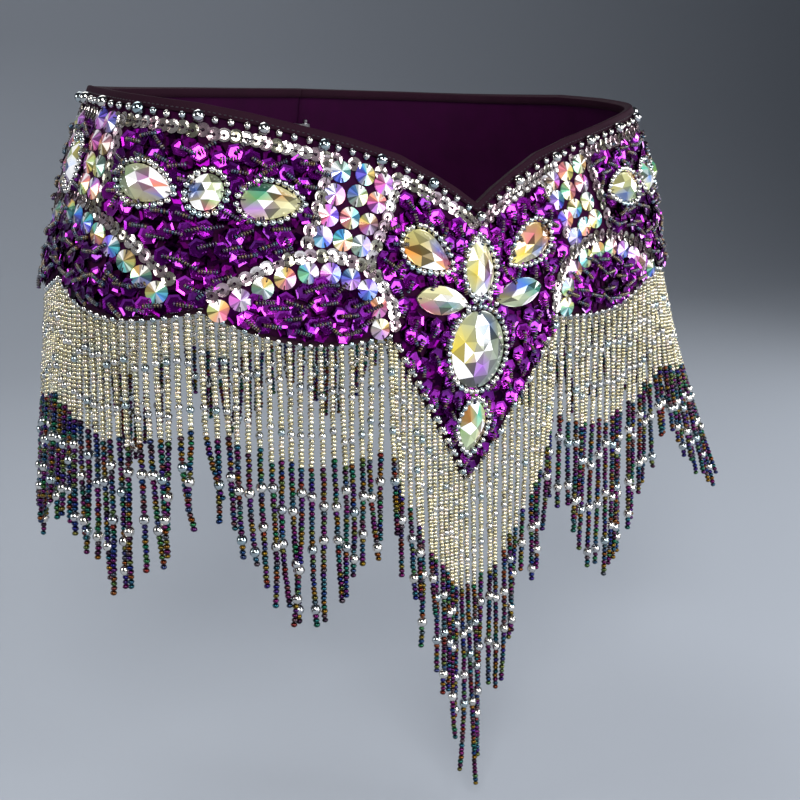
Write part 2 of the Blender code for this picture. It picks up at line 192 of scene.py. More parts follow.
class Finish:
    def __init__(self, name):
        self.made = bpy.data.materials.new(name)
        self.made.use_nodes = True
        self.nodes = self.made.node_tree.nodes
        self.links = self.made.node_tree.links
        self.shader = self.nodes["Principled BSDF"]

    def node(self, kind, settings=None, inputs=None, out=0):
        node = self.nodes.new(kind)
        for key, value in (settings or {}).items():
            if key == "stops":
                self.fillRamp(node.color_ramp, value)
            else:
                setattr(node, key, value)
        for key, value in (inputs or {}).items():
            self.feed(node.inputs[key], value)
        return Wire(self, node.outputs[out])    # out is a socket's name or number

    def fillRamp(self, ramp, stops):
        while len(ramp.elements) < len(stops):
            ramp.elements.new(0.5)
        for element, (position, colour) in zip(ramp.elements, stops):
            element.position = position
            element.color = (*colour, 1.0)

    def feed(self, socket, value):
        if isinstance(value, Wire):
            self.links.new(value.socket, socket)
        elif isinstance(value, tuple) and len(value) == 3 and socket.type == "RGBA":
            socket.default_value = (*value, 1.0)
        else:
            socket.default_value = value

    def mix(self, first, second, share):
        return self.node("ShaderNodeMix", {"data_type": "RGBA"}, {0: share, 6: first, 7: second}, out=2)

    def attribute(self, name, out):
        return self.node("ShaderNodeAttribute", {"attribute_name": name}, out=out)

    def noise(self, at, **values):
        return self.node("ShaderNodeTexNoise", None, {"Vector": at, **values})

    def objectPlace(self):
        return self.node("ShaderNodeTexCoord", out="Object")

    def bump(self, height, strength, distance):
        return self.node("ShaderNodeBump", None,
                         {"Strength": strength, "Distance": distance, "Height": height})

    def surface(self, **values):
        for key, value in values.items():
            self.feed(self.shader.inputs[key.replace("_", " ")], value)
        return self.made


# modelling helpers
def clearSelection():
    if bpy.context.object and bpy.context.object.mode != "OBJECT":
        bpy.ops.object.mode_set(mode="OBJECT")
    bpy.ops.object.select_all(action="DESELECT")


def startEditing():
    # edit mode on the primitive just added, all of it selected
    bpy.ops.object.mode_set(mode="EDIT")
    bpy.ops.mesh.select_all(action="SELECT")
    return bpy.context.object


def selectWhere(piece, kind, test):
    # selects the verts, edges or faces that pass the test, in edit mode
    work = bmesh.from_edit_mesh(piece.data)
    for part in getattr(work, kind):
        part.select_set(bool(test(part)))
    bmesh.update_edit_mesh(piece.data)


def takeShape(piece):
    # vertex places and faces of a modelled unit, sorted to be the same each run; the unit is then removed
    if piece.mode != "OBJECT":
        bpy.ops.object.mode_set(mode="OBJECT")
    points = np.array([v.co for v in piece.data.vertices], float)
    order = np.lexsort(np.round(points, 5).T)
    rank = np.argsort(order)
    faces = []
    for face in piece.data.polygons:
        corners = [int(rank[i]) for i in face.vertices]
        first = corners.index(min(corners))
        faces.append(tuple(corners[first:] + corners[:first]))
    bpy.data.objects.remove(piece)
    return points[order], sorted(faces)


def makePiece(name, points, faces, look, smooth=False, tint=None, colours=None, cut=None):
    mesh = bpy.data.meshes.new(name)
    mesh.from_pydata(np.asarray(points).tolist(), [], faces)
    mesh.polygons.foreach_set("use_smooth", np.full(len(mesh.polygons), smooth))
    if tint is not None:
        mesh.attributes.new("tint", "FLOAT", "POINT").data.foreach_set("value", np.asarray(tint, np.float32))
    if colours is not None:
        loops = np.asarray(colours, float)    # one for each face, or one for each corner
        if len(loops) == len(faces):
            loops = np.repeat(loops, [len(f) for f in faces], axis=0)
        layer = mesh.color_attributes.new("fire", "FLOAT_COLOR", "CORNER")
        layer.data.foreach_set("color", np.concatenate([loops, np.ones((len(loops), 1))], 1).ravel())
    if cut is not None:
        corners = np.empty(len(mesh.loops), int)
        mesh.loops.foreach_get("vertex_index", corners)
        mesh.uv_layers.new(name="cut").data.foreach_set("uv", np.asarray(cut, float)[corners].ravel())
    mesh.update()
    piece = bpy.data.objects.new(name, mesh)
    bpy.context.scene.collection.objects.link(piece)
    mesh.materials.append(look)
    return piece


def finishPiece(piece, slot, *nodes):
    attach(piece, "root")
    if nodes:
        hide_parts(*nodes)


def copies(shape, points, turns, sizes):
    # one joined set of copies: points n x 3 in metres, turns n x 3 x 3, sizes in mm per unit
    unit, unitFaces = shape
    sizes = np.ones((len(points), 3)) * sizes
    local = unit[None, :, :] * sizes[:, None, :] * mm
    placed = np.einsum("nij,nkj->nki", turns, local) + points[:, None, :]
    step = len(unit)
    faces = [tuple(i + k * step for i in face) for k in range(len(points)) for face in unitFaces]
    return placed.reshape(-1, 3), faces


def sewCopies(name, shape, points, turns, sizes, look, slot, chooser, smooth=False, nodes=()):
    # a piece of many copies, each with its own tint
    placed, faces = copies(shape, points, turns, sizes)
    tint = np.repeat(chooser.uniform(0, 1, len(points)), len(shape[0]))
    finishPiece(makePiece(name, placed, faces, look, smooth, tint), slot, *nodes)


def spun(turns, spin, tiltX=0.0, tiltY=0.0):
    # turns each set of directions about its own outward axis, then tips it
    n = len(turns)
    spin, tiltX, tiltY = (np.broadcast_to(np.asarray(v, float), n) for v in (spin, tiltX, tiltY))
    zero, one = np.zeros(n), np.ones(n)
    c, d = np.cos(spin), np.sin(spin)
    aboutZ = np.stack([c, -d, zero, d, c, zero, zero, zero, one], -1).reshape(n, 3, 3)
    c, d = np.cos(tiltX), np.sin(tiltX)
    aboutX = np.stack([one, zero, zero, zero, c, -d, zero, d, c], -1).reshape(n, 3, 3)
    c, d = np.cos(tiltY), np.sin(tiltY)
    aboutY = np.stack([c, zero, d, zero, one, zero, -d, zero, c], -1).reshape(n, 3, 3)
    return turns @ aboutX @ aboutY @ aboutZ


cameraSetup = {"turn": 32.711, "pitch": 14.266, "aside": 0.917, "distance": 633.5, "height": 25.1,
               "focal": 1079.9, "imageWide": 800, "sensor": 36.0, "clip": (0.01, 20.0)}


def makeCamera(c):
    turn, aim = math.radians(c["turn"]), math.radians(c["turn"] + c["aside"])
    pitch = math.radians(c["pitch"])
    spot = Vector((-math.sin(turn) * c["distance"], -math.cos(turn) * c["distance"], c["height"])) * mm
    forward = Vector((math.sin(aim) * math.cos(pitch), math.cos(aim) * math.cos(pitch), -math.sin(pitch)))
    right = Vector((math.cos(aim), -math.sin(aim), 0.0))
    up = right.cross(forward)
    lens = bpy.data.cameras.new("camera")
    lens.sensor_width = c["sensor"]
    lens.sensor_fit = "HORIZONTAL"
    lens.lens = c["focal"] / c["imageWide"] * c["sensor"]
    lens.clip_start, lens.clip_end = c["clip"]
    eye = bpy.data.objects.new("camera", lens)
    eye.matrix_world = Matrix.Translation(spot) @ Matrix((right, up, -forward)).transposed().to_4x4()
    bpy.context.scene.collection.objects.link(eye)
    bpy.context.scene.camera = eye


makeCamera(cameraSetup)
print("camera set")

# units that repeat, each modelled once, 1 across
hair, outline = 1e-4, 0.85    # when edges are picked: tolerance in height, nearest that an outline comes
units = {
    # sides, rings, height over width
    "seedBead": (8, 3, 0.86), "darkBead": (8, 4, 0.86), "tinyBead": (5, 3, 0.8), "roundBead": (8, 6, 1.0),
    # sides, bands of facets from the rim inwards (width, drop), wall
    "violetCup": (6, ((0.12, 0.05), (0.22, 0.012)), 0.012),
    "clearCup": (12, ((0.17, 0.05), (0.2, 0.012)), 0.02),
}
thread = {"cut": {"sides": 5, "radius": 0.1, "bend": 0.3, "end": 0.45, "dip": 0.2, "taper": 0.6},
          "width": 2.9, "seed": 2}


def beadShape(sides, rings, squash):
    grow = 1 / math.cos(math.pi / 2 / rings) if rings % 2 else 1.0    # so that the widest ring is 1 across
    clearSelection()
    bpy.ops.mesh.primitive_uv_sphere_add(segments=sides, ring_count=rings, radius=0.5)
    piece = startEditing()
    bpy.ops.transform.resize(value=(grow, grow, squash))
    return takeShape(piece)


def cupShape(sides, bands, wall):
    # a sequin: bands of facets round a stitch hole
    clearSelection()
    bpy.ops.mesh.primitive_circle_add(vertices=sides, radius=0.5, fill_type="NGON")
    piece = startEditing()
    for width, drop in bands:
        bpy.ops.mesh.inset(thickness=width, depth=-drop)
    bpy.ops.mesh.delete(type="FACE")
    bpy.ops.object.mode_set(mode="OBJECT")
    piece.modifiers.new("wall", "SOLIDIFY").thickness = wall
    bpy.ops.object.modifier_apply(modifier="wall")
    return takeShape(piece)


def threadShape(sides, radius, bend, end, dip, taper):
    # one stitch of thread, arched over what it holds
    clearSelection()
    bpy.ops.mesh.primitive_cylinder_add(vertices=sides, radius=radius, depth=1.0,
                                        rotation=(0, math.pi / 2, 0))
    bpy.ops.object.transform_apply(location=False, rotation=True, scale=False)
    piece = startEditing()
    for x in (-bend, bend):
        bpy.ops.mesh.select_all(action="SELECT")
        bpy.ops.mesh.bisect(plane_co=(x, 0, 0), plane_no=(1, 0, 0))
    bpy.ops.mesh.select_mode(type="VERT")
    selectWhere(piece, "verts", lambda vert: abs(vert.co.x) > end)
    bpy.ops.transform.translate(value=(0, 0, -dip))
    bpy.ops.transform.resize(value=(1.0, taper, taper))
    return takeShape(piece)


def stoneShape(sides, girdle, rings, height, rimCuts):
    # a cut stone 2 across: girdle, then rings of flat facets (width, level) up to a point
    clearSelection()
    bpy.ops.mesh.primitive_circle_add(vertices=sides, radius=1.0, fill_type="NGON")
    piece = startEditing()
    bpy.ops.mesh.extrude_region_move(TRANSFORM_OT_translate={"value": (0, 0, girdle)})
    below, wide = girdle, 1.0
    for share, level in rings:
        bpy.ops.mesh.extrude_region_move(TRANSFORM_OT_translate={"value": (0, 0, level - below)})
        bpy.ops.transform.resize(value=(share / wide, share / wide, 1.0))
        bpy.ops.transform.rotate(value=math.pi / sides, orient_axis="Z", center_override=(0, 0, 0))
        below, wide = level, share
    bpy.ops.mesh.poke(offset=height - below)
    bpy.ops.mesh.select_mode(type="FACE")
    selectWhere(piece, "faces", lambda face: face.calc_center_median().z > girdle + hair)
    bpy.ops.mesh.quads_convert_to_tris(quad_method="SHORTEST_DIAGONAL")
    if rimCuts:
        bpy.ops.mesh.select_mode(type="EDGE")
        bpy.ops.mesh.select_all(action="DESELECT")
        selectWhere(piece, "edges", lambda edge: onRim(edge, girdle))
        bpy.ops.mesh.subdivide(number_cuts=rimCuts, ngon=True, quadcorner="INNERVERT")
    bpy.ops.mesh.select_all(action="SELECT")
    bpy.ops.mesh.normals_make_consistent(inside=False)
    points, faces = takeShape(piece)
    reach = np.hypot(points[:, 0], points[:, 1])
    rim = (points[:, 2] < girdle + hair) & (reach > outline)
    points[rim, :2] /= reach[rim, None]    # the cut rim is made round again
    return points, faces


def onRim(edge, height):
    # True on a level edge of the outline, up to the given height
    low = all(v.co.z < height + hair and v.co.xy.length > outline for v in edge.verts)
    return low and abs(edge.verts[0].co.z - edge.verts[1].co.z) < hair


seedBead, darkBead, tinyBead, roundBead = (beadShape(*units[name]) for name in
                                           ("seedBead", "darkBead", "tinyBead", "roundBead"))
violetCup, clearCup = cupShape(*units["violetCup"]), cupShape(*units["clearCup"])
stitch = threadShape(**thread["cut"])
print("units modelled")

# finishes: the cloths, then what is tinted copy by copy, from one end of its colours to the other
cloths = {
    "plumCloth": {"colour": (0.029, 0.0006, 0.025), "rough": 0.7, "weave": 900.0},
    "plumSatin": {"colour": (0.022, 0.005, 0.014), "rough": 0.6, "weave": 500.0},
}
tinted = {
    "violetSequins": {
        "stops": ((0.0, (0.09, 0.001, 0.15)), (0.45, (0.17, 0.003, 0.25)), (0.8, (0.30, 0.006, 0.40)),
                  (1.0, (0.52, 0.03, 0.62))),
        "metallic": 0.88, "rough": 0.09, "coat": 0.3, "wear": 0.1},
    # darker copies of the violet sequins: painted shade
    "plumSequins": {
        "stops": ((0.0, (0.010, 0.0003, 0.012)), (0.7, (0.026, 0.0006, 0.030)),
                  (1.0, (0.075, 0.001, 0.095))),
        "metallic": 1.0, "rough": 0.16, "coat": 0.0, "wear": 0.1},
    "silverSequins": {
        "stops": ((0.0, (0.40, 0.28, 0.32)), (0.25, (0.58, 0.44, 0.50)), (0.45, (0.30, 0.29, 0.22)),
                  (0.6, (0.46, 0.44, 0.38)), (0.8, (0.66, 0.60, 0.60)), (1.0, (0.92, 0.87, 0.86))),
        "metallic": 0.8, "rough": 0.1, "coat": 0.7, "wear": 0.1},
    "silverBeads": {
        "stops": ((0.0, (0.34, 0.45, 0.48)), (0.3, (0.50, 0.51, 0.52)), (0.7, (0.62, 0.60, 0.55)),
                  (1.0, (0.80, 0.78, 0.74))),
        "metallic": 1.0, "rough": 0.06, "coat": 0.3, "wear": 0.08},
    # clear beads: partly their own cream tone, partly a painted warm reflection of a gold body behind the
    # fringe that the scene leaves out
    "clearBeads": {
        "stops": ((0.0, (0.34, 0.30, 0.18)), (0.25, (0.60, 0.55, 0.36)), (0.5, (0.78, 0.72, 0.50)),
                  (0.7, (0.46, 0.48, 0.38)), (0.85, (0.66, 0.56, 0.46)), (1.0, (0.94, 0.90, 0.74))),
        "metallic": 0.85, "rough": 0.09, "coat": 0.8, "wear": 0.0},
    "irisBeads": {
        "stops": ((0.0, (0.006, 0.0005, 0.010)), (0.2, (0.085, 0.0005, 0.060)),
                  (0.36, (0.001, 0.004, 0.100)), (0.52, (0.0005, 0.085, 0.030)),
                  (0.66, (0.130, 0.075, 0.0005)), (0.8, (0.100, 0.004, 0.001)),
                  (0.9, (0.0005, 0.070, 0.095)), (1.0, (0.026, 0.0005, 0.085))),
        "metallic": 1.0, "rough": 0.12, "coat": 0.3, "wear": 0.0},
    "rowBeads": {
        "stops": ((0.0, (0.006, 0.003, 0.008)), (0.25, (0.14, 0.09, 0.03)), (0.4, (0.008, 0.004, 0.012)),
                  (0.6, (0.02, 0.07, 0.12)), (0.75, (0.12, 0.10, 0.07)), (0.9, (0.008, 0.004, 0.030)),
                  (1.0, (0.05, 0.01, 0.09))),
        "metallic": 0.6, "rough": 0.07, "coat": 1.0, "wear": 0.0},
    "darkThread": {
        "stops": ((0.0, (0.006, 0.002, 0.008)), (1.0, (0.016, 0.008, 0.018))),
        "metallic": 0.0, "rough": 0.5, "coat": 0.0, "wear": 0.2},
}


def satinFinish(name, colour, rough, weave):
    f = Finish(name)
    cut = f.node("ShaderNodeUVMap", {"uv_map": "cut"})
    grain = f.node("ShaderNodeTexWave", {"wave_type": "BANDS", "bands_direction": "DIAGONAL"},
                   {"Vector": cut, "Scale": weave, "Distortion": 1.5, "Detail": 2.0}, out="Fac")
    cloudy = f.noise(cut, Scale=60.0, Detail=5.0)
    shade = f.mix(tuple(v * 0.5 for v in colour), colour, cloudy)
    return f.surface(Base_Color=shade, Roughness=rough + cloudy * 0.16, Specular_IOR_Level=0.07,
                     Normal=f.bump(grain * 0.6 + cloudy * 0.6, 0.3, 0.0003))


def tintFinish(name, stops, metallic, rough, coat, wear):
    # colour from each copy's own tint, with fine wear in the gloss
    f = Finish(name)
    shade = f.node("ShaderNodeValToRGB", {"stops": stops}, {"Fac": f.attribute("tint", "Fac")})
    scuffed = f.noise(f.objectPlace(), Scale=1400.0)
    return f.surface(Base_Color=shade, Metallic=metallic, Roughness=rough + scuffed * wear,
                     Coat_Weight=coat, Coat_Roughness=0.04)


def stoneFinish(name):
    # colour from each facet's fire, which is also fed to the emission: a faint painted glow, though the
    # stones give no light of their own
    f = Finish(name)
    fire = f.attribute("fire", "Color")
    return f.surface(Base_Color=fire, Metallic=0.2, Roughness=0.06, Coat_Weight=1.0,
                     Coat_Roughness=0.02, Emission_Color=fire, Emission_Strength=0.22)


def steelFinish(name):
    f = Finish(name)
    brushed = f.noise(f.objectPlace(), Scale=700.0, Detail=3.0)
    return f.surface(Base_Color=f.mix((0.42, 0.42, 0.44), (0.62, 0.62, 0.65), brushed), Metallic=1.0,
                     Roughness=0.22 + brushed * 0.2)


looks = {name: satinFinish(name, **values) for name, values in cloths.items()}
looks.update({name: tintFinish(name, **values) for name, values in tinted.items()})
looks["platedSteel"] = steelFinish("platedSteel")
looks["rainbowStones"] = stoneFinish("rainbowStones")
print("finishes made")


def sewThreads(name, spots, headings, lengths, lifts, slot):
    # stitches on the cloth, each about a place in s and z
    spots = np.asarray(spots, float)
    n = len(spots)
    points, turns = place(spots[:, 0], spots[:, 1], lifts)
    wide = np.full(n, thread["width"])
    sizes = np.stack([np.broadcast_to(lengths, n), wide, wide], -1)
    sewCopies(name, stitch, points, spun(turns, headings), sizes, looks["darkThread"], slot,
              np.random.default_rng(thread["seed"]), True)


# cloth of the front panel and the two wings
cloth = {"step": 3.0, "rows": 30}


def hemTurns(sFrom, sTo):
    # s of each corner of the hem between two places
    turns = [belt["frontHem"][1][0]] + [scallop[1] for scallop in belt["scallops"][:-1]]
    return [s for turn in turns for s in (-turn, turn) if sFrom < s < sTo]


def clothFaces(n, m):
    # faces of two grids of n x m points, outer and inner, closed round their edges
    faces = []
    total = n * m
    for i in range(n - 1):
        for j in range(m - 1):
            a, b, c, d = i * m + j, (i + 1) * m + j, (i + 1) * m + j + 1, i * m + j + 1
            faces.append((a, b, c, d))
            faces.append((total + d, total + c, total + b, total + a))
    rim = [i * m for i in range(n)] + [(n - 1) * m + j for j in range(1, m)]
    rim += [i * m + m - 1 for i in range(n - 2, -1, -1)] + list(range(m - 2, 0, -1))
    for a, b in zip(rim, rim[1:] + rim[:1]):
        faces.append((b, a, total + a, total + b))
    return faces


def clothPiece(name, sFrom, sTo, hem, node):
    steps = max(2, int(abs(sTo - sFrom) / cloth["step"]))
    s = np.concatenate([np.linspace(sFrom, sTo, steps + 1), hemTurns(sFrom, sTo)])
    s = np.unique(np.round(s, 4))
    high, low = topEdge(s) - belt["bindingWall"] - belt["bindingGap"], hem(s)
    share = np.linspace(0, 1, cloth["rows"] + 1)
    z = low[:, None] + (high - low)[:, None] * share[None, :]
    grid = np.broadcast_to(s[:, None], z.shape)
    points = np.concatenate([place(grid, z, out)[0].reshape(-1, 3) for out in (0.0, -belt["wall"])])
    cut = np.tile(np.stack([grid, z], -1).reshape(-1, 2) * mm, (2, 1))
    piece = makePiece(name, points, clothFaces(*z.shape), looks["plumCloth"], True, cut=cut)
    finishPiece(piece, "sequin_cloth", node)
    area = float(np.sum(np.diff(s) * ((high - low)[1:] + (high - low)[:-1]) / 2)) * mm * mm


halfGap = belt["seamGap"] / 2
clothPiece("frontPanelCloth", -belt["seam"] + halfGap, belt["seam"] - halfGap, frontHem, "front_panel")
clothPiece("wingLeftCloth", belt["seam"] + halfGap, halfGirth - belt["backGap"], wingHem, "wing_left")
clothPiece("wingRightCloth", -halfGirth + belt["backGap"], -belt["seam"] - halfGap, wingHem, "wing_right")
print("cloth laid")

# binding folded over the top edge
binding = {"round": 0.55, "roundSteps": 4, "bulge": 0.05, "outerTurn": 0.2, "innerTurn": 0.15, "steps": 361,
           "stitchBelow": 3.4, "stitchPitch": 2.8, "stitchLength": 1.7, "stitchLift": 0.08}


def bindingSection():
    # out and height under the fold, from the outer leg's inside round to the inner leg's inside
    wall, gap, leg, soft = belt["bindingWall"], belt["bindingGap"], belt["bindingLeg"], binding["round"]
    outer, inner = gap + wall, -belt["wall"] - gap - wall
    outerTurn, innerTurn, bulge = -leg + binding["outerTurn"], -leg + binding["innerTurn"], binding["bulge"]
    turns = np.linspace(0, math.pi / 2, binding["roundSteps"])
    section = [(gap, innerTurn), (gap + wall * 0.5, -leg), (outer, outerTurn), (outer + bulge, -leg * 0.5)]
    section += [(outer - soft + soft * math.cos(a), -soft + soft * math.sin(a)) for a in turns]
    section += [(inner + soft - soft * math.sin(a), -soft + soft * math.cos(a)) for a in turns]
    section += [(inner - bulge, -leg * 0.5), (inner, outerTurn), (inner + wall * 0.5, -leg),
                (inner + wall, innerTurn), (inner + wall, -wall), (gap, -wall)]
    return np.array(section)


def foldBinding():
    s = np.linspace(-halfGirth, halfGirth, binding["steps"])
    section = bindingSection()
    outs = np.broadcast_to(section[:, 0], (len(s), len(section)))
    z = topEdge(s)[:, None] + section[None, :, 1]
    grid = np.broadcast_to(s[:, None], z.shape)
    points = place(grid, z, outs)[0].reshape(-1, 3)
    n, m = z.shape
    faces = [((i + 1) * m + j, (i + 1) * m + (j + 1) % m, i * m + (j + 1) % m, i * m + j)
             for i in range(n - 1) for j in range(m)]
    faces += [tuple(range(m)), tuple((n - 1) * m + j for j in range(m))[::-1]]
    path = np.concatenate([[0], np.cumsum(np.hypot(*np.diff(section, axis=0).T))])
    cut = np.stack([grid, np.broadcast_to(path, z.shape)], -1).reshape(-1, 2) * mm
    piece = makePiece("bindingStrip", points, faces, looks["plumSatin"], True, cut=cut)
    finishPiece(piece, "binding_satin", "top_binding")
    row = evenly(belowTop(s, binding["stitchBelow"]), binding["stitchPitch"])
    lift = belt["bindingGap"] + belt["bindingWall"] + binding["stitchLift"]
    sewThreads("bindingStitches", row, pathTurns(row), binding["stitchLength"], lift, "binding_satin")


foldBinding()
print("binding folded")

# round stones: places in s and z
stones = {
    "gridRight": ((81.8, 3.8), (67.8, 2.1), (57.0, -2.6), (84.8, -6.7), (72.3, -7.6), (61.4, -11.2),
                  (88.0, -16.2), (76.5, -17.8), (66.3, -21.0), (91.1, -25.8), (80.2, -28.0), (70.4, -31.0)),
    "gridLeft": ((80.5, 4.4), (67.7, 0.8), (55.8, -4.0), (79.6, -6.0), (67.4, -9.4), (57.2, -14.0),
                 (82.0, -15.8), (70.6, -19.0), (62.2, -24.6), (86.6, -25.4), (76.8, -29.0), (68.4, -34.4)),
    "arch": ((59.2, -71.8), (60.6, -61.2), (66.5, -52.2), (75.7, -46.4), (86.2, -43.2),
             (97.5, -42.2), (108.8, -44.2), (119.2, -48.2), (129.4, -53.0), (138.8, -57.6)),
    "sideGrid": ((226.0, 28.0), (213.8, 26.5), (226.4, 17.9), (213.8, 16.4), (226.8, 7.8),
                 (214.4, 6.2), (227.2, -2.3), (215.4, -4.0)),
    "sideArch": ((167.0, -48.8), (175.0, -41.9), (183.9, -35.3), (193.9, -29.3),
                 (204.6, -24.2), (215.8, -20.0), (227.6, -17.0), (239.8, -15.2)),
    "radius": 5.3, "lift": 0.15, "tilt": 0.05, "spin": 0.3, "seed": 3,
    "cut": {"sides": 20, "girdle": 0.16, "rings": (), "height": 0.42, "rimCuts": 0},
    # colours that run round a stone, how far round they run, and the dull tone some stones have
    "rainbow": ((0.58, 0.30, 0.87), (0.75, 0.16, 0.83), (0.87, 0.19, 0.32), (0.91, 0.42, 0.16),
                (0.75, 0.70, 0.20), (0.22, 0.58, 0.32), (0.10, 0.51, 0.58), (0.045, 0.12, 0.80),
                (0.20, 0.11, 0.75)),
    "span": (1.5, 4.5), "dull": (0.20, 0.21, 0.15), "dullShare": (0.1, 0.9),
    # painted light and shade: how much brighter or darker each facet is made at random, and how often each
    # comes
    "shades": (0.94, 0.66, 0.44, 0.24), "shadeShares": (0.35, 0.3, 0.2, 0.15),
    # painted highlights: the white wedge near the top of a stone, where the lamps would shine on it, and the
    # fainter one across from it
    "wedge": 0.36, "acrossWedge": 0.2, "wedgeSway": 0.45,
    "threadReach": 4.2, "threadSway": 0.5, "thread": 2.9, "threadLift": 1.75,
}


def mirrored(places):
    return [(-s, z) for s, z in places]


def placeRoundStones():
    places = list(stones["arch"])
    for spot in stones["sideGrid"] + stones["sideArch"]:
        places += [spot, acrossSide(spot)]
    places += mirrored(places)
    return np.array(places + list(stones["gridLeft"]) + mirrored(stones["gridRight"]))


def ringColour(at):
    # colour at places counted round the rainbow
    rainbow = np.array(stones["rainbow"])
    low = np.floor(at).astype(int)
    part = (at - low)[:, None]
    return rainbow[low % len(rainbow)] * (1 - part) + rainbow[(low + 1) % len(rainbow)] * part


def rainbowColours(turns, chooser):
    # facet colours of one round stone: turns are the angles of its facets
    start, span = chooser.uniform(0, len(stones["rainbow"])), chooser.uniform(*stones["span"])
    lead, dim = chooser.uniform(0, math.tau, 2)
    top = math.pi / 2 + chooser.normal(0, stones["wedgeSway"])
    colours = ringColour(start + span * (1 - np.cos(turns - lead)) / 2)
    share = (chooser.uniform(*stones["dullShare"]) * (0.5 + 0.5 * np.cos(turns - dim)))[:, None]
    colours = colours * (1 - share) + np.array(stones["dull"]) * share
    sides = stones["cut"]["sides"]
    facet = (turns / math.tau % 1 * sides).astype(int)
    # painted light and shade: each facet made brighter or darker at random, standing in for reflections in
    # the cut glass
    colours *= chooser.choice(stones["shades"], sides, p=stones["shadeShares"])[facet][:, None]
    # painted highlights: a white wedge turned towards the top of each stone, and a fainter one across from it
    turned = np.abs((turns - top + math.pi) % math.tau - math.pi)
    white = np.exp(-(turned / stones["wedge"]) ** 2)
    white = white + 0.5 * np.exp(-((math.pi - turned) / stones["acrossWedge"]) ** 2)
    return colours * (1 - white[:, None]) + white[:, None]


def sewRoundStones(spots):
    shape = stoneShape(**stones["cut"])
    chooser = np.random.default_rng(stones["seed"])
    n = len(spots)
    points, turns = place(spots[:, 0], spots[:, 1], stones["lift"])
    spin = chooser.uniform(0, stones["spin"], n)
    tiltX, tiltY = chooser.normal(0, stones["tilt"], n), chooser.normal(0, stones["tilt"], n)
    placed, faces = copies(shape, points, spun(turns, spin, tiltX, tiltY), stones["radius"])
    middles = shape[0][np.array([f[:3] for f in shape[1]])].mean(1)
    facets = np.arctan2(middles[:, 1], middles[:, 0])
    colours = np.concatenate([rainbowColours(facets, chooser) for _ in range(n)])
    piece = makePiece("roundStones", placed, faces, looks["rainbowStones"], colours=colours)
    finishPiece(piece, "set_stones")
    sway = stones["threadSway"]
    headings = np.repeat(chooser.uniform(-sway, sway, n) + math.pi / 2, 2)
    ways = np.tile([1, -1], n) * stones["threadReach"]
    held = np.repeat(spots, 2, axis=0) + np.stack([np.cos(headings), np.sin(headings)], -1) * ways[:, None]
    sewThreads("stoneThreads", held, headings, stones["thread"], stones["threadLift"], "set_stones")


roundSpots = placeRoundStones()
sewRoundStones(roundSpots)
print("round stones sewn")

# set stones
gemRow = namedtuple("gemRow", "name s z length width turn tip taper height")    # length and width are halves
gems = {
    "middle": (("gem_top_petal", -1.0, -45.6, 15.0, 8.6, 90, 1.45, 0.25, 5.0),
               ("gem_centre_oval", -2.2, -88.2, 20.6, 16.2, 90, 1.0, 0.0, 6.0),
               ("gem_drop", -2.2, -130.0, 14.4, 7.9, 270, 1.45, 0.1, 5.0)),
    "pairs": (("gem_pear", 33.0, -36.2, 15.4, 8.5, 212, 1.2, 0.4, 5.0),
              ("gem_side_petal", 24.3, -60.8, 15.3, 7.3, 190, 1.45, 0.15, 5.0),
              ("gem_row_drop", 117.6, -9.4, 14.8, 8.0, 185, 1.2, 0.3, 5.5),
              ("gem_row_round", 148.8, -4.6, 8.1, 8.1, 0, 1.0, 0.0, 5.0),
              ("gem_row_pear", 179.8, -1.0, 15.2, 7.9, 196, 1.3, 0.15, 5.5),
              ("gem_side_oval", 246.0, 7.0, 11.6, 8.4, 90, 1.0, 0.0, 5.0)),
    "lift": 0.8, "largeFrom": 18.0, "rimSteps": 721,
    "plainCut": {"sides": 6, "girdle": 0.24, "rings": ((0.52, 0.84),), "height": 1.0, "rimCuts": 3},
    "largeCut": {"sides": 8, "girdle": 0.22, "rings": ((0.7, 0.7), (0.36, 0.95)), "height": 1.0,
                 "rimCuts": 2},
    # ground colours, how many painted flashes of fire cross them and the share of facets painted white as
    # highlights
    "plainFire": {"ground": ((0.66, 0.62, 0.28), (0.44, 0.45, 0.18), (0.80, 0.78, 0.50), (0.58, 0.46, 0.16),
                             (0.60, 0.70, 0.50), (0.36, 0.36, 0.14)), "flashes": 4, "bright": 0.17},
    "largeFire": {"ground": ((0.52, 0.55, 0.36), (0.26, 0.32, 0.26)), "flashes": 3, "bright": 0.13},
    "plainSeed": 40, "largeSeed": 51,
    "flash": ((0.90, 0.36, 0.08), (0.80, 0.14, 0.36), (0.50, 0.18, 0.80), (0.08, 0.24, 0.80),
              (0.05, 0.54, 0.44), (0.85, 0.68, 0.08), (0.28, 0.56, 0.16)),
    "flashFar": (0.4, 0.9), "flashWide": (0.2, 0.38), "flashShare": 0.95,
    "runShares": (0.7, 0.3),    # how far colours run over the edges: own corner, middle of the facet
    # painted light and shade on the facets and how often each comes, and the painted white of the highlit
    # facets
    "deepen": 1.25, "shades": (1.05, 0.74, 0.45, 0.2), "shadeShares": (0.3, 0.3, 0.24, 0.16), "white": 0.88,
    "threadAt": 0.93, "thread": 3.0, "threadUp": 0.36, "threadLift": 0.2,
}


def gemRows():
    rows = [gemRow(*values) for values in gems["middle"]]
    for values in gems["pairs"]:
        row = gemRow(*values)
        rows.append(row._replace(name=row.name + "_left"))
        rows.append(row._replace(name=row.name + "_right", s=-row.s, turn=180 - row.turn))
    return rows


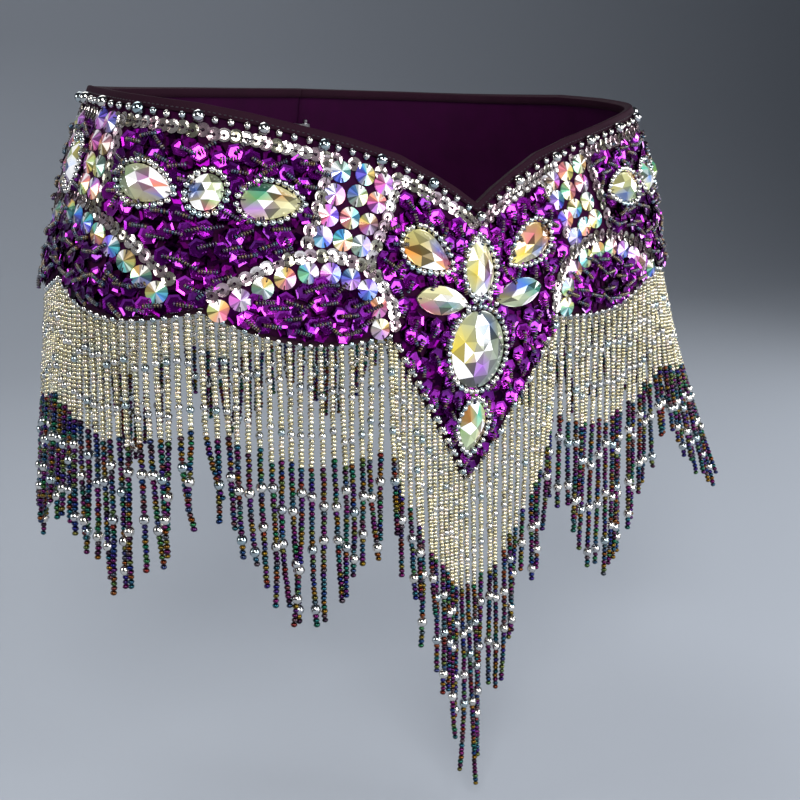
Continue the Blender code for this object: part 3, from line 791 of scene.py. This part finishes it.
def gemRim(row, a, share=1.0, outward=0.0):
    # rim of a set stone in s and z at the angles a, moved outward by some mm
    reach = np.linspace(0, math.tau, gems["rimSteps"])
    widest = np.max(np.abs(np.sin(reach)) ** row.tip * (1 - row.taper * np.cos(reach)))
    sine = np.sin(a)
    across = (row.width * np.sign(sine) * np.abs(sine) ** row.tip * (1 - row.taper * np.cos(a)) / widest)
    along = row.length * np.cos(a)
    grow = 1 + outward / np.maximum(1e-6, np.hypot(along, across))
    along, across = along * share * grow, across * share * grow
    c, d = math.cos(math.radians(row.turn)), math.sin(math.radians(row.turn))
    return row.s + along * c - across * d, row.z + along * d + across * c


def gemOutline(row, outward, count):
    # closed outline of a set stone, at some mm from its rim
    return np.stack(gemRim(row, np.linspace(0, math.tau, count + 1)[:-1], 1.0, outward), -1)


def fireColours(points, faces, ground, flashes, bright, seed):
    # soft painted flashes of fire on a pale ground, run across the facets, with some facets painted bright as
    # highlights and some painted dark as shade
    chooser = np.random.default_rng(seed)
    owner = np.repeat(np.arange(len(faces)), [len(f) for f in faces])
    middles = np.array([points[list(f)].mean(0) for f in faces])
    corners = points[np.concatenate([np.array(f) for f in faces])]
    cornerShare, middleShare = gems["runShares"]
    at = cornerShare * corners[:, :2] + middleShare * middles[owner, :2]
    first, second = np.array(ground)[chooser.choice(len(ground), 2, replace=False)]
    way = chooser.uniform(0, math.tau)
    share = np.clip(0.5 + 0.6 * at @ np.array([math.cos(way), math.sin(way)]), 0, 1)[:, None]
    made = first * (1 - share) + second * share
    # painted flashes of fire: coloured light that the cut would throw, laid on as colour
    for own in np.array(gems["flash"])[chooser.choice(len(gems["flash"]), flashes, replace=False)]:
        turn, far = chooser.uniform(0, math.tau), chooser.uniform(*gems["flashFar"])
        away = np.sum((at - np.array([math.cos(turn), math.sin(turn)]) * far) ** 2, 1)
        near = gems["flashShare"] * np.exp(-away / (2 * chooser.uniform(*gems["flashWide"]) ** 2))[:, None]
        made = made * (1 - near) + own * near
    # painted light and shade: each facet brighter or darker at random
    shades = chooser.choice(gems["shades"], len(faces), p=gems["shadeShares"])
    made = made ** gems["deepen"] * shades[owner][:, None]
    # painted highlights: the lit facets turn near white
    lit = (chooser.random(len(faces)) < bright)[owner][:, None]
    return np.where(lit, gems["white"] + made * (1 - gems["white"]), made)


def setStones():
    cuts = {"plain": stoneShape(**gems["plainCut"]), "large": stoneShape(**gems["largeCut"])}
    ends, headings, lifts = [], [], []
    for number, row in enumerate(gemRows()):
        kind = "large" if row.length > gems["largeFrom"] else "plain"
        unit, unitFaces = cuts[kind]
        s, z = gemRim(row, np.arctan2(unit[:, 1], unit[:, 0]), np.hypot(unit[:, 0], unit[:, 1]))
        points = place(s, z, gems["lift"] + unit[:, 2] * row.height)[0]
        colours = fireColours(unit, unitFaces, **gems[kind + "Fire"], seed=gems[kind + "Seed"] + number)
        first, *others = row.name.split("_")
        name = first + "".join(word.capitalize() for word in others)
        piece = makePiece(name, points, unitFaces, looks["rainbowStones"], colours=colours)
        finishPiece(piece, "set_stones", row.name)
        ends.append(np.stack(gemRim(row, np.array([0.0, math.pi]), gems["threadAt"]), -1))
        headings += [math.radians(row.turn)] * 2
        lifts += [gems["lift"] + row.height * gems["threadUp"] + gems["threadLift"]] * 2
    sewThreads("gemThreads", np.concatenate(ends), headings, gems["thread"], np.array(lifts), "set_stones")


setStones()
print("set stones placed")

# bead fringe: its sizes stand here because the beads along the point follow its strands
fringe = {
    "gap": 0.4, "frontGap": 0.7, "frontPitch": 4.0, "wingPitch": 5.2, "strand": 2.2,
    "frontMargin": 0.4, "wingMargin": 0.6, "behind": 1.0, "extra": 2.6,
    # s, and the strands' length
    "frontLength": ((0, 185), (8.4, 174), (15.8, 157), (31.5, 135), (50.5, 108)),
    "wingLength": ((50.5, 101), (69.5, 117), (84, 134), (97, 147), (105, 141), (116, 132),
                   (126.5, 118), (139, 100), (146.5, 89), (161, 103), (175.5, 122), (191, 138),
                   (209, 122), (225, 113), (239.5, 117), (246, 110), (267, 112), (283, 121),
                   (301, 138), (316.5, 121), (331, 100), (345.5, 84), (364, 99), (381.5, 114),
                   (400, 98), (418, 82), (437, 98), (454, 112), (472, 98), (491, 84)),
    "frontSteps": (-26.0, -4.0, 0.0, -14.0, 3.0), "wingSteps": (0.0, 3.0, -2.5, 1.5, -3.0),
    # s, and how far the strands lean outwards
    "rightLean": ((0, 0.04), (50, 0.01), (105, 0.0), (150, 0.0), (190, 0.02), (225, 0.09),
                  (246, 0.12), (345, 0.08), (491, 0.05)),
    "leftLean": ((0, 0.04), (50, 0.02), (106, 0.03), (127, 0.06), (140, 0.09), (148, 0.12),
                 (162, 0.18), (176, 0.25), (192, 0.35), (215, 0.40), (246, 0.34), (345, 0.12),
                 (491, 0.05)),
    "leftStretch": ((0, 1.0), (63, 1.0), (84, 1.1), (158, 1.1), (176, 1.12), (192, 1.14),
                    (215, 1.12), (246, 1.05), (345, 1.0)),
    # s, and how far down the clear beads reach
    "clearLength": ((0, 62), (16, 76), (31.5, 76), (48.5, 70), (54.5, 60), (97, 60), (146.5, 57),
                    (196, 60), (246, 57), (500, 58)),
    # size and pitch of the beads, and how the strands stray from straight, at the front and on the wings
    "front": {"clear": (3.0, 2.05), "dark": (3.4, 2.45), "sway": 3.6, "curl": 22.5, "gather": 1.0},
    "wing": {"clear": (3.05, 2.05), "dark": (3.5, 2.5), "sway": 2.6, "curl": 27.5, "gather": 1.8},
    "gatherTurn": 0.21,    # the strands draw together in bunches along the hem
    "curlFrom": 0.55, "wave": 0.4, "waveTurn": 7, "phase": 6.3, "depth": 0.6, "loose": 0.2, "tilt": 0.16,
    "clearVary": 2.5, "sizeVary": (0.93, 1.07), "topBead": 0.4,
    "squash": {"clear": 0.86, "dark": 0.88, "silver": 1.0},
    # silver beads: sizes, and where they come in the clear and in the dark part
    "smallSilver": 4.1, "largeSilver": 5.7, "firstSilver": 3.3, "firstAt": 1.2, "lastSilver": 7, "seat": 0.94,
    "clearAt": (20.0, 43.0), "clearAtVary": 2.6, "darkAt": (17.0, 43.0, 70.0), "darkAtVary": 8,
    "tapeIn": 0.8, "tapeTall": 2.2, "tapeDeep": 1.0, "tapeEnd": 1.2, "tapeGap": 0.1, "tapeStep": 3,
    "seeds": {"fringeFront": 78, "fringeLeft": 71, "fringeRight": 78}, "turnSeed": 4, "tintSeed": 6,
}


def strandPlaces(sFrom, sTo, pitch):
    return np.linspace(sFrom, sTo, int((sTo - sFrom) / pitch) + 1)


def frontStrands():
    reach = belt["seam"] - fringe["strand"] / 2 - fringe["frontMargin"]
    return strandPlaces(-reach, reach, fringe["frontPitch"])


# silver beads round the stones, below the binding and along the point
silver = {
    "ring": 3.75, "ringPitch": 3.55, "ringOut": 2.0, "ringSteps": 96, "ringSway": 0.16,
    "ringVary": (0.92, 1.06), "ringLift": 0.3, "unringed": "side_petal",
    "between": ((4.6, -62.2), (8.4, -65.0), (-5.2, -62.4), (-9.2, -65.2)),
    "edge": 3.9, "edgeBig": 6.3, "edgePitch": 8.3, "edgeDrop": 6.4, "edgeSway": 0.22, "edgeEnd": 3,
    "edgeSteps": 1201, "edgeLift": 1.9, "edgeBigLift": 3.0, "bigEvery": 4,
    "pointRight": 4.4, "pointLeft": 3.9, "pointBig": 5.4, "pointUp": 0.9, "pointSway": 0.15,
    "pointLift": 0.3, "filler": 2.9, "fillerUp": 2.0, "fillerLift": 1.2, "seed": 18, "tintSeed": 8,
}


def sewSilverBeads():
    spots, sizes, lifts = [], [], []

    def sew(row, size, lift):
        spots.append(row)
        sizes.append(np.broadcast_to(size, len(row)))
        lifts.append(np.broadcast_to(lift, len(row)))

    chooser = np.random.default_rng(silver["seed"])
    ringLift = silver["ring"] / 2 + silver["ringLift"]
    for row in gemRows():
        if silver["unringed"] not in row.name:
            ring = evenly(gemOutline(row, silver["ringOut"], silver["ringSteps"]), silver["ringPitch"], True)
            ring = ring + chooser.normal(0, silver["ringSway"], ring.shape)
            sew(ring, silver["ring"] * chooser.uniform(*silver["ringVary"], len(ring)), ringLift)
    sew(np.array(silver["between"]), silver["ring"], ringLift)
    s = np.linspace(-halfGirth + silver["edgeEnd"], halfGirth - silver["edgeEnd"], silver["edgeSteps"])
    edge = evenly(belowTop(s, silver["edgeDrop"]), silver["edgePitch"])
    big = np.arange(len(edge)) % silver["bigEvery"] == 0
    sew(edge + chooser.normal(0, silver["edgeSway"], edge.shape),
        np.where(big, silver["edgeBig"], silver["edge"]),
        np.where(big, silver["edgeBigLift"], silver["edgeLift"]))
    s = frontStrands()
    big = np.arange(len(s)) % silver["bigEvery"] == 0
    size = np.where(s < 0, silver["pointRight"], np.where(big, silver["pointBig"], silver["pointLeft"]))
    row = np.stack([s, frontHem(s) + silver["pointUp"]], -1)
    sew(row + chooser.normal(0, silver["pointSway"], row.shape), size, size * silver["pointLift"])
    s = ((s[1:] + s[:-1]) / 2)[:len(s) // 2]
    sew(np.stack([s, frontHem(s) + silver["fillerUp"]], -1), silver["filler"], silver["fillerLift"])
    spots = np.concatenate(spots)
    points, turns = place(spots[:, 0], spots[:, 1], np.concatenate(lifts))
    sewCopies("silverEdgeBeads", roundBead, points, turns, np.concatenate(sizes)[:, None],
              looks["silverBeads"], "fringe_beads", np.random.default_rng(silver["tintSeed"]), True)


sewSilverBeads()
print("silver beads sewn")

# silver sequin lines
lines = {
    "size": 6.8, "pitch": 5.4, "belowTop": 11.8, "offArch": 8.0, "clearOfStones": 5.4,
    "wingFrom": 53.5, "frontRange": (3, 49), "backEnd": 3, "wingSteps": 400, "frontSteps": 60,
    # upright lines: next to the seam, behind the small grid, and before the side grid
    "sides": (((49.5, -4.0), (53.0, -11.0), (55.0, -17.0), (57.5, -22.5), (61.0, -29.5), (64.0, -35.5),
               (66.0, -41.0)),
              ((89.1, 8.1), (91.3, -5.9), (94.6, -15.9), (98.6, -27.9)),
              ((203.5, 26.0), (203.5, 8.0), (206.0, -9.0))),
    "sway": 0.25, "lift": (1.2, 0.2), "lean": 0.13, "leanVary": 0.05, "tilt": 0.07,
    "threadAt": 0.22, "thread": 0.5, "threadLift": 1.75, "seed": 12,
}


def sequinPaths():
    # paths of the lines on the wearer's left
    wing = np.linspace(lines["wingFrom"], halfGirth - lines["backEnd"], lines["wingSteps"])
    front = np.linspace(*lines["frontRange"], lines["frontSteps"])
    paths = [belowTop(wing, lines["belowTop"]), belowTop(front, lines["belowTop"]),
             offsetPath(stones["arch"], lines["offArch"])]
    sideArch = list(stones["sideArch"]) + [acrossSide(spot) for spot in reversed(stones["sideArch"])]
    paths.append(offsetPath(sideArch, lines["offArch"]))
    paths += [np.array(line) for line in lines["sides"]]
    paths.append(np.array([acrossSide(spot) for spot in lines["sides"][2]]))
    return paths


def placeSequinLines():
    # places of the sequins on both sides and the angle at which each line runs there
    spots, along = [], []
    for path in sequinPaths():
        row = evenly(path, lines["pitch"])
        for side in (1, -1):
            spots.append(row * [side, 1])
            along.append(pathTurns(row * [side, 1]))
    spots, along = np.concatenate(spots), np.concatenate(along)
    free = nearest(spots, roundSpots) > lines["clearOfStones"]
    return spots[free], along[free]


def laySilverSequins():
    spots, along = placeSequinLines()
    chooser = np.random.default_rng(lines["seed"])
    n = len(spots)
    spots = spots + chooser.normal(0, lines["sway"], spots.shape)
    lift, liftVary = lines["lift"]
    points, turns = place(spots[:, 0], spots[:, 1], lift + chooser.uniform(0, liftVary, n))
    tilt = chooser.normal(0, lines["tilt"], n)
    lean = lines["lean"] + chooser.normal(0, lines["leanVary"], n)    # each laps over the next
    turns = spun(spun(turns, along), 0.0, tilt, lean)
    sewCopies("silverSequins", clearCup, points, turns, lines["size"], looks["silverSequins"],
              "sequin_cloth", chooser)
    held = spots + np.stack([np.cos(along), np.sin(along)], -1) * lines["size"] * lines["threadAt"]
    sewThreads("sequinThreads", held, along, lines["size"] * lines["thread"], lines["threadLift"],
               "sequin_cloth")
    return spots


clearSpots = laySilverSequins()
print("silver sequins sewn")

# violet sequins: bright cups over a flat layer of darker copies, painted as sequins in shade, and short rows
# of small dark beads
violet = {
    "size": 9.3, "apart": 7.3, "tilt": 0.14, "lift": (1.55, 0.6), "placeSeed": 21, "seed": 30,
    "hang": 0.12,    # lower rims on the front stand off the cloth
    "under": {"apart": 6.6, "tilt": 0.06, "lift": (0.75, 0.3), "placeSeed": 22, "seed": 31},
    "rowBeads": {"Front": 5, "Left": 7, "Right": 7}, "rowBead": (2.4, 2.4, 1.44), "rowPitch": 1.3,
    "rowStart": 0.3, "rowLift": 3.0, "rowArch": 0.5, "archFrom": 0.2, "rowSway": 0.42,
    # where none lies: at the edges, and round the stones, the silver lines and the set stones
    "backEnd": 4, "frontHem": 5.6, "wingHem": 2.9, "belowTop": 17.2, "offStones": 6.9, "offLines": 5.2,
    "offGems": 3.6, "gemReach": 45, "rimSteps": 32, "plainTo": 233,
    "tries": 90000, "height": (-158, 32), "most": 4000,
}


def lineAcross(line, z):
    # s of an upright sequin line at the height z
    line = sorted(line, key=lambda spot: spot[1])
    return float(np.interp(z, [spot[1] for spot in line], [spot[0] for spot in line]))


def onPlainCloth(s, z):
    # True on the bare cloth between the stones of a grid
    s = abs(s)
    seamLine, gridLine, sideLine = lines["sides"]
    if lineAcross(seamLine, z) < s < lineAcross(gridLine, z):
        return z > float(np.interp(s, *np.array(stones["arch"]).T))
    if s > belt["sideMiddle"]:
        s = acrossSide((s, z))[0]
    if lineAcross(sideLine, z) < s < violet["plainTo"]:
        return z > float(np.interp(s, *np.array(stones["sideArch"]).T))
    return False


def insideRim(rim, s, z):
    if np.max(np.abs(rim[0] - (s, z))) > violet["gemReach"]:
        return False
    x, y = rim[:, 0], rim[:, 1]
    nextX, nextY = np.roll(x, -1), np.roll(y, -1)
    crossing = ((y > z) != (nextY > z)) & (s < x + (z - y) * (nextX - x) / (nextY - y + 1e-9))
    return bool(np.sum(crossing) % 2)


def violetSpots(apart, seed):
    # sequins thrown at random places, kept where none lies too near
    chooser = np.random.default_rng(seed)
    s = chooser.uniform(-halfGirth + violet["backEnd"], halfGirth - violet["backEnd"], violet["tries"])
    z = chooser.uniform(*violet["height"], violet["tries"])
    front = np.abs(s) < belt["seam"]
    low = np.where(front, frontHem(s) + violet["frontHem"], wingHem(s) + violet["wingHem"])
    spots = np.stack([s, z], -1)[(z > low) & (z < topEdge(s) - violet["belowTop"])]
    spots = spots[nearest(spots, roundSpots) > violet["offStones"]]
    spots = spots[nearest(spots, clearSpots) > violet["offLines"]]
    rims = [gemOutline(row, violet["offGems"], violet["rimSteps"]) for row in gemRows()]
    found = np.full((violet["most"], 2), np.inf)
    count = 0
    for spot in spots:
        if onPlainCloth(*spot) or np.min(np.hypot(*(found[:count + 1] - spot).T)) <= apart:
            continue
        if not any(insideRim(rim, *spot) for rim in rims):
            found[count] = spot
            count += 1
    return found[:count]


def layUnderSequins():
    # a layer that lies flat under the bright sequins: darker copies of them, a painted shade for sequins that
    # catch no light
    under = violet["under"]
    spots = violetSpots(under["apart"], under["placeSeed"])
    chooser = np.random.default_rng(under["seed"])
    n = len(spots)
    lift, liftVary = under["lift"]
    points, turns = place(spots[:, 0], spots[:, 1], lift + chooser.uniform(0, liftVary, n))
    tilt = chooser.normal(0, under["tilt"], (2, n))
    turns = spun(turns, chooser.uniform(0, math.tau, n), *tilt)
    sewCopies("underSequins", violetCup, points, turns, violet["size"], looks["plumSequins"],
              "sequin_cloth", chooser)
    print("under sequins:", n)


def layBrightSequins(name, spots, chooser):
    n = len(spots)
    tilt = chooser.normal(0, violet["tilt"], (2, n))
    spin = chooser.uniform(0, math.tau, n)
    lift, liftVary = violet["lift"]
    points, turns = place(spots[:, 0], spots[:, 1], lift + chooser.uniform(0, liftVary, n))
    if name == "Front":
        turns = spun(turns, 0.0, -violet["hang"])
    sewCopies("violetSequins" + name, violetCup, points, spun(turns, spin, *tilt), violet["size"],
              looks["violetSequins"], "sequin_cloth", chooser)


def sewBeadRows(name, spots, chooser):
    # the rows run outwards from the sequins' holes, on the front downwards
    heading = chooser.normal(-math.pi / 2 if name == "Front" else 0.0, violet["rowSway"], len(spots))
    if name == "Left":
        heading += math.pi
    beads = violet["rowBeads"][name]
    step = np.arange(beads) * violet["rowPitch"] + violet["rowStart"]
    s = spots[:, 0][:, None] + np.cos(heading)[:, None] * step
    z = spots[:, 1][:, None] + np.sin(heading)[:, None] * step
    rise = violet["rowLift"] + violet["rowArch"] * np.sin(np.linspace(violet["archFrom"], math.pi, beads))
    points, turns = place(s, z, np.broadcast_to(rise, s.shape))
    points, turns = points.reshape(-1, 3), turns.reshape(-1, 3, 3)
    turns = spun(turns, np.repeat(heading, beads))[:, :, [1, 2, 0]]    # bead holes lie along the row
    sewCopies("stitchBeads" + name, tinyBead, points, turns, np.array(violet["rowBead"]),
              looks["rowBeads"], "fringe_beads", chooser, True)


def layViolet():
    spots = violetSpots(violet["apart"], violet["placeSeed"])
    chooser = np.random.default_rng(violet["seed"])
    parts = {"Front": np.abs(spots[:, 0]) < belt["seam"], "Left": spots[:, 0] >= belt["seam"],
             "Right": spots[:, 0] <= -belt["seam"]}
    for name, here in parts.items():
        layBrightSequins(name, spots[here], chooser)
        sewBeadRows(name, spots[here], chooser)
    print("violet sequins:", len(spots))


layUnderSequins()
layViolet()


# strands of the fringe
def fringePart(s):
    return "front" if abs(s) < belt["seam"] else "wing"


def strandLength(s, number):
    part = fringePart(s)
    steps = fringe[part + "Steps"]
    length = float(column(fringe[part + "Length"], s)) + steps[number % len(steps)]
    if part == "wing" and s > 0:
        length *= float(column(fringe["leftStretch"], s))
    return length


def strandBeads(s, number, chooser):
    # beads down one strand: kind, distance from the hem, size
    length = strandLength(s, number) + fringe["extra"]
    sizes = fringe[fringePart(s)]
    vary = fringe["clearVary"]
    clearEnd = float(column(fringe["clearLength"], s)) + chooser.uniform(-vary, vary)
    if s > belt["seam"]:
        clearEnd *= float(column(fringe["leftStretch"], s))
    vary = fringe["darkAtVary"]
    silverAt = [at + chooser.gauss(0, fringe["clearAtVary"]) for at in fringe["clearAt"]]
    silverAt += [clearEnd + at + chooser.uniform(-vary, vary) for at in fringe["darkAt"]]
    beads, at = [], fringe["topBead"]
    if abs(s) > belt["seam"]:
        beads.append(("silver", at + fringe["firstAt"], fringe["firstSilver"]))
        at += fringe["firstSilver"]
    while at < length:
        kind = "dark" if at > clearEnd else "clear"
        if silverAt and at >= silverAt[0] and length - at > fringe["lastSilver"]:
            size = fringe["largeSilver"] if kind == "dark" else fringe["smallSilver"]
            beads.append(("silver", at + size / 2, size))
            at += size * fringe["seat"]    # the next bead sits a little in its hole
            silverAt.pop(0)
            continue
        size, pitch = sizes[kind]
        beads.append((kind, at + pitch / 2, size * chooser.uniform(*fringe["sizeVary"])))
        at += pitch
    return beads


def makeTape(name, sFrom, sTo, hem):
    # narrow tape behind the hem that the strands are sewn to
    s = np.linspace(sFrom, sTo, max(2, int(abs(sTo - sFrom) / fringe["tapeStep"])))
    near, far = -fringe["tapeIn"], -fringe["tapeIn"] - fringe["tapeDeep"]
    outs = np.broadcast_to([near, near, far, far], (len(s), 4))
    z = (hem(s) - fringe["tapeGap"])[:, None] + np.array([0, -1, -1, 0])[None, :] * fringe["tapeTall"]
    points = place(np.broadcast_to(s[:, None], z.shape), z, outs)[0].reshape(-1, 3)
    n = len(s)
    faces = [(i * 4 + j, (i + 1) * 4 + j, (i + 1) * 4 + (j + 1) % 4, i * 4 + (j + 1) % 4)
             for i in range(n - 1) for j in range(4)]
    faces += [(0, 1, 2, 3), tuple((n - 1) * 4 + j for j in (3, 2, 1, 0))]
    cut = np.stack([np.repeat(s, 4), z.reshape(-1)], -1) * mm
    finishPiece(makePiece(name, points, faces, looks["plumSatin"], cut=cut), "binding_satin")


def strandWay(s, hem, gap):
    # top of a strand, with the directions across it, down it and off the cloth
    start, turn = place(s, float(hem(s)) - gap, -fringe["behind"])
    flat = np.array([turn[0, 2], turn[1, 2], 0.0])
    flat /= np.linalg.norm(flat)
    lean = float(column(fringe["leftLean" if s > 0 else "rightLean"], s))
    fall = flat * lean - np.array([0, 0, 1.0])
    fall /= np.linalg.norm(fall)
    return start, turn[:, 0], fall, np.cross(turn[:, 0], fall)


def hangStrand(s, number, hem, gap, chooser, found):
    # adds one strand's beads to those found so far: place, across, fall, size
    start, across, fall, off = strandWay(s, hem, gap)
    stray = fringe[fringePart(s)]
    drift, swing = chooser.uniform(-1, 1), chooser.uniform(-1, 1)
    phase = chooser.uniform(0, fringe["phase"])
    depth = chooser.uniform(-fringe["depth"], fringe["depth"])
    curl = stray["curl"] * chooser.uniform(-1, 1) ** 3    # some ends turn aside
    length = strandLength(s, number)
    for kind, at, size in strandBeads(s, number, chooser):
        share = at / length
        wave = fringe["wave"] * swing * math.sin(share * fringe["waveTurn"] + phase)
        aside = stray["sway"] * share * (drift * share + wave)
        aside += stray["gather"] * share * math.sin(s * fringe["gatherTurn"])
        forward = stray["sway"] * share * depth
        loose = 0.0 if kind == "silver" else fringe["loose"]
        aside += chooser.uniform(-loose, loose) + curl * max(0.0, share - fringe["curlFrom"]) ** 2
        forward += chooser.uniform(-loose, loose)
        point = start + (fall * at + across * aside + off * forward) * mm
        found[kind].append((point, across, fall, size))


def beadTurns(across, down):
    # directions of the beads on a strand, each turned and tipped a little
    down = -down
    side = across - down * np.sum(across * down, 1, keepdims=True)
    side /= np.linalg.norm(side, axis=1, keepdims=True)
    turns = np.stack([side, np.cross(down, side), down], -1)
    chooser = np.random.default_rng(fringe["turnSeed"])
    spin = chooser.uniform(0, math.tau, len(down))
    return spun(turns, spin, *chooser.normal(0, fringe["tilt"], (2, len(down))))


def makeFringe(name, strands, hem, gap, node):
    chooser = random.Random(fringe["seeds"][name])
    found = {"clear": [], "dark": [], "silver": []}
    makeTape(name + "Tape", strands[0] - fringe["tapeEnd"], strands[-1] + fringe["tapeEnd"], hem)
    for number, s in enumerate(strands):
        hangStrand(s, number, hem, gap, chooser, found)
    for kind, shape, look in (("clear", seedBead, "clearBeads"), ("dark", darkBead, "irisBeads"),
                              ("silver", roundBead, "silverBeads")):
        points, across, fall, size = (np.array(values) for values in zip(*found[kind]))
        sizes = size[:, None] * np.array([1.0, 1.0, fringe["squash"][kind]])
        tints = np.random.default_rng(fringe["tintSeed"])
        sewCopies(name + kind.capitalize(), shape, points, beadTurns(across, fall), sizes, looks[look],
                  "fringe_beads", tints, True, [node] if kind == "clear" else [])
    print(name, {kind: len(beads) for kind, beads in found.items()})


wingEnd = fringe["strand"] / 2 + fringe["wingMargin"]
leftStrands = strandPlaces(belt["seam"] + wingEnd, halfGirth - wingEnd, fringe["wingPitch"])
makeFringe("fringeFront", frontStrands(), frontHem, fringe["frontGap"], "fringe_front")
makeFringe("fringeLeft", leftStrands, wingHem, fringe["gap"], "fringe_left")
makeFringe("fringeRight", -leftStrands[::-1], wingHem, fringe["gap"], "fringe_right")

# floor and light
studio = {
    "floor": (0.40, 0.44, 0.50), "rough": 0.75, "drop": -0.362, "halfSize": (7.0, 3.4), "back": -0.6,
    "backFrom": 2.0, "wall": 5.0, "sweep": 1.6, "sweepSteps": 12,
    "world": (0.55, 0.62, 0.75), "worldPower": 0.07, "aim": (0, 0, -0.1),
    # place, size, power, colour
    "lamps": (((-0.95, -1.45, 1.15), 0.95, 30.0, (1.0, 0.98, 0.95)),
              ((1.15, -1.15, 0.80), 0.60, 6.0, (0.95, 0.97, 1.0)),
              ((0.10, 1.0, 1.30), 1.2, 12.0, (1.0, 1.0, 1.0)),
              ((-0.32, -1.75, 0.22), 0.30, 6.0, (1.0, 0.98, 1.0)),
              ((0.80, -1.30, 0.04), 0.75, 14.0, (1.0, 0.98, 1.0)),
              ((1.50, -0.10, 0.15), 0.45, 5.0, (1.0, 1.0, 1.0)),
              ((-1.55, 0.40, 0.30), 0.60, 8.0, (1.0, 1.0, 1.0))),
}


def layFloor():
    # floor that sweeps up into a plain backdrop
    clearSelection()
    bpy.ops.mesh.primitive_plane_add(size=2.0)
    floor = startEditing()
    floor.name = "floor"
    bpy.ops.transform.resize(value=(*studio["halfSize"], 1.0))
    bpy.ops.transform.translate(value=(0, studio["back"], studio["drop"]))
    bpy.ops.mesh.select_mode(type="EDGE")
    bpy.ops.mesh.select_all(action="DESELECT")
    selectWhere(floor, "edges", lambda edge: all(v.co.y > studio["backFrom"] for v in edge.verts))
    bpy.ops.mesh.extrude_region_move(TRANSFORM_OT_translate={"value": (0, 0, studio["wall"])})
    selectWhere(floor, "edges", lambda edge: all(v.co.y > studio["backFrom"] and v.co.z < 0
                                                 for v in edge.verts))
    bpy.ops.mesh.bevel(offset=studio["sweep"], segments=studio["sweepSteps"])
    bpy.ops.object.mode_set(mode="OBJECT")
    bpy.ops.object.shade_smooth()
    look = Finish("paleFloor").surface(Base_Color=studio["floor"], Roughness=studio["rough"])
    floor.data.materials.append(look)


def setLights():
    world = bpy.data.worlds.new("studio")
    world.use_nodes = True
    back = world.node_tree.nodes["Background"]
    back.inputs["Color"].default_value = (*studio["world"], 1.0)
    back.inputs["Strength"].default_value = studio["worldPower"]
    bpy.context.scene.world = world
    for number, (spot, size, power, colour) in enumerate(studio["lamps"]):
        lamp = bpy.data.lights.new("lamp%d" % number, "AREA")
        lamp.size, lamp.energy, lamp.color = size, power, colour
        holder = bpy.data.objects.new("lamp%d" % number, lamp)
        holder.location = spot
        aim = Vector(studio["aim"]) - Vector(spot)
        holder.rotation_euler = aim.to_track_quat("-Z", "Y").to_euler()
        bpy.context.scene.collection.objects.link(holder)


layFloor()
setLights()
bpy.context.scene.view_settings.view_transform = "Standard"
print("studio lit")

# the hooks and bars keep their solids and get their finish
for node in ("hook_1", "hook_2", "hook_3", "bar_1", "bar_2", "bar_3"):
    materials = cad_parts[node].data.materials
    materials.clear()
    materials.append(looks["platedSteel"])
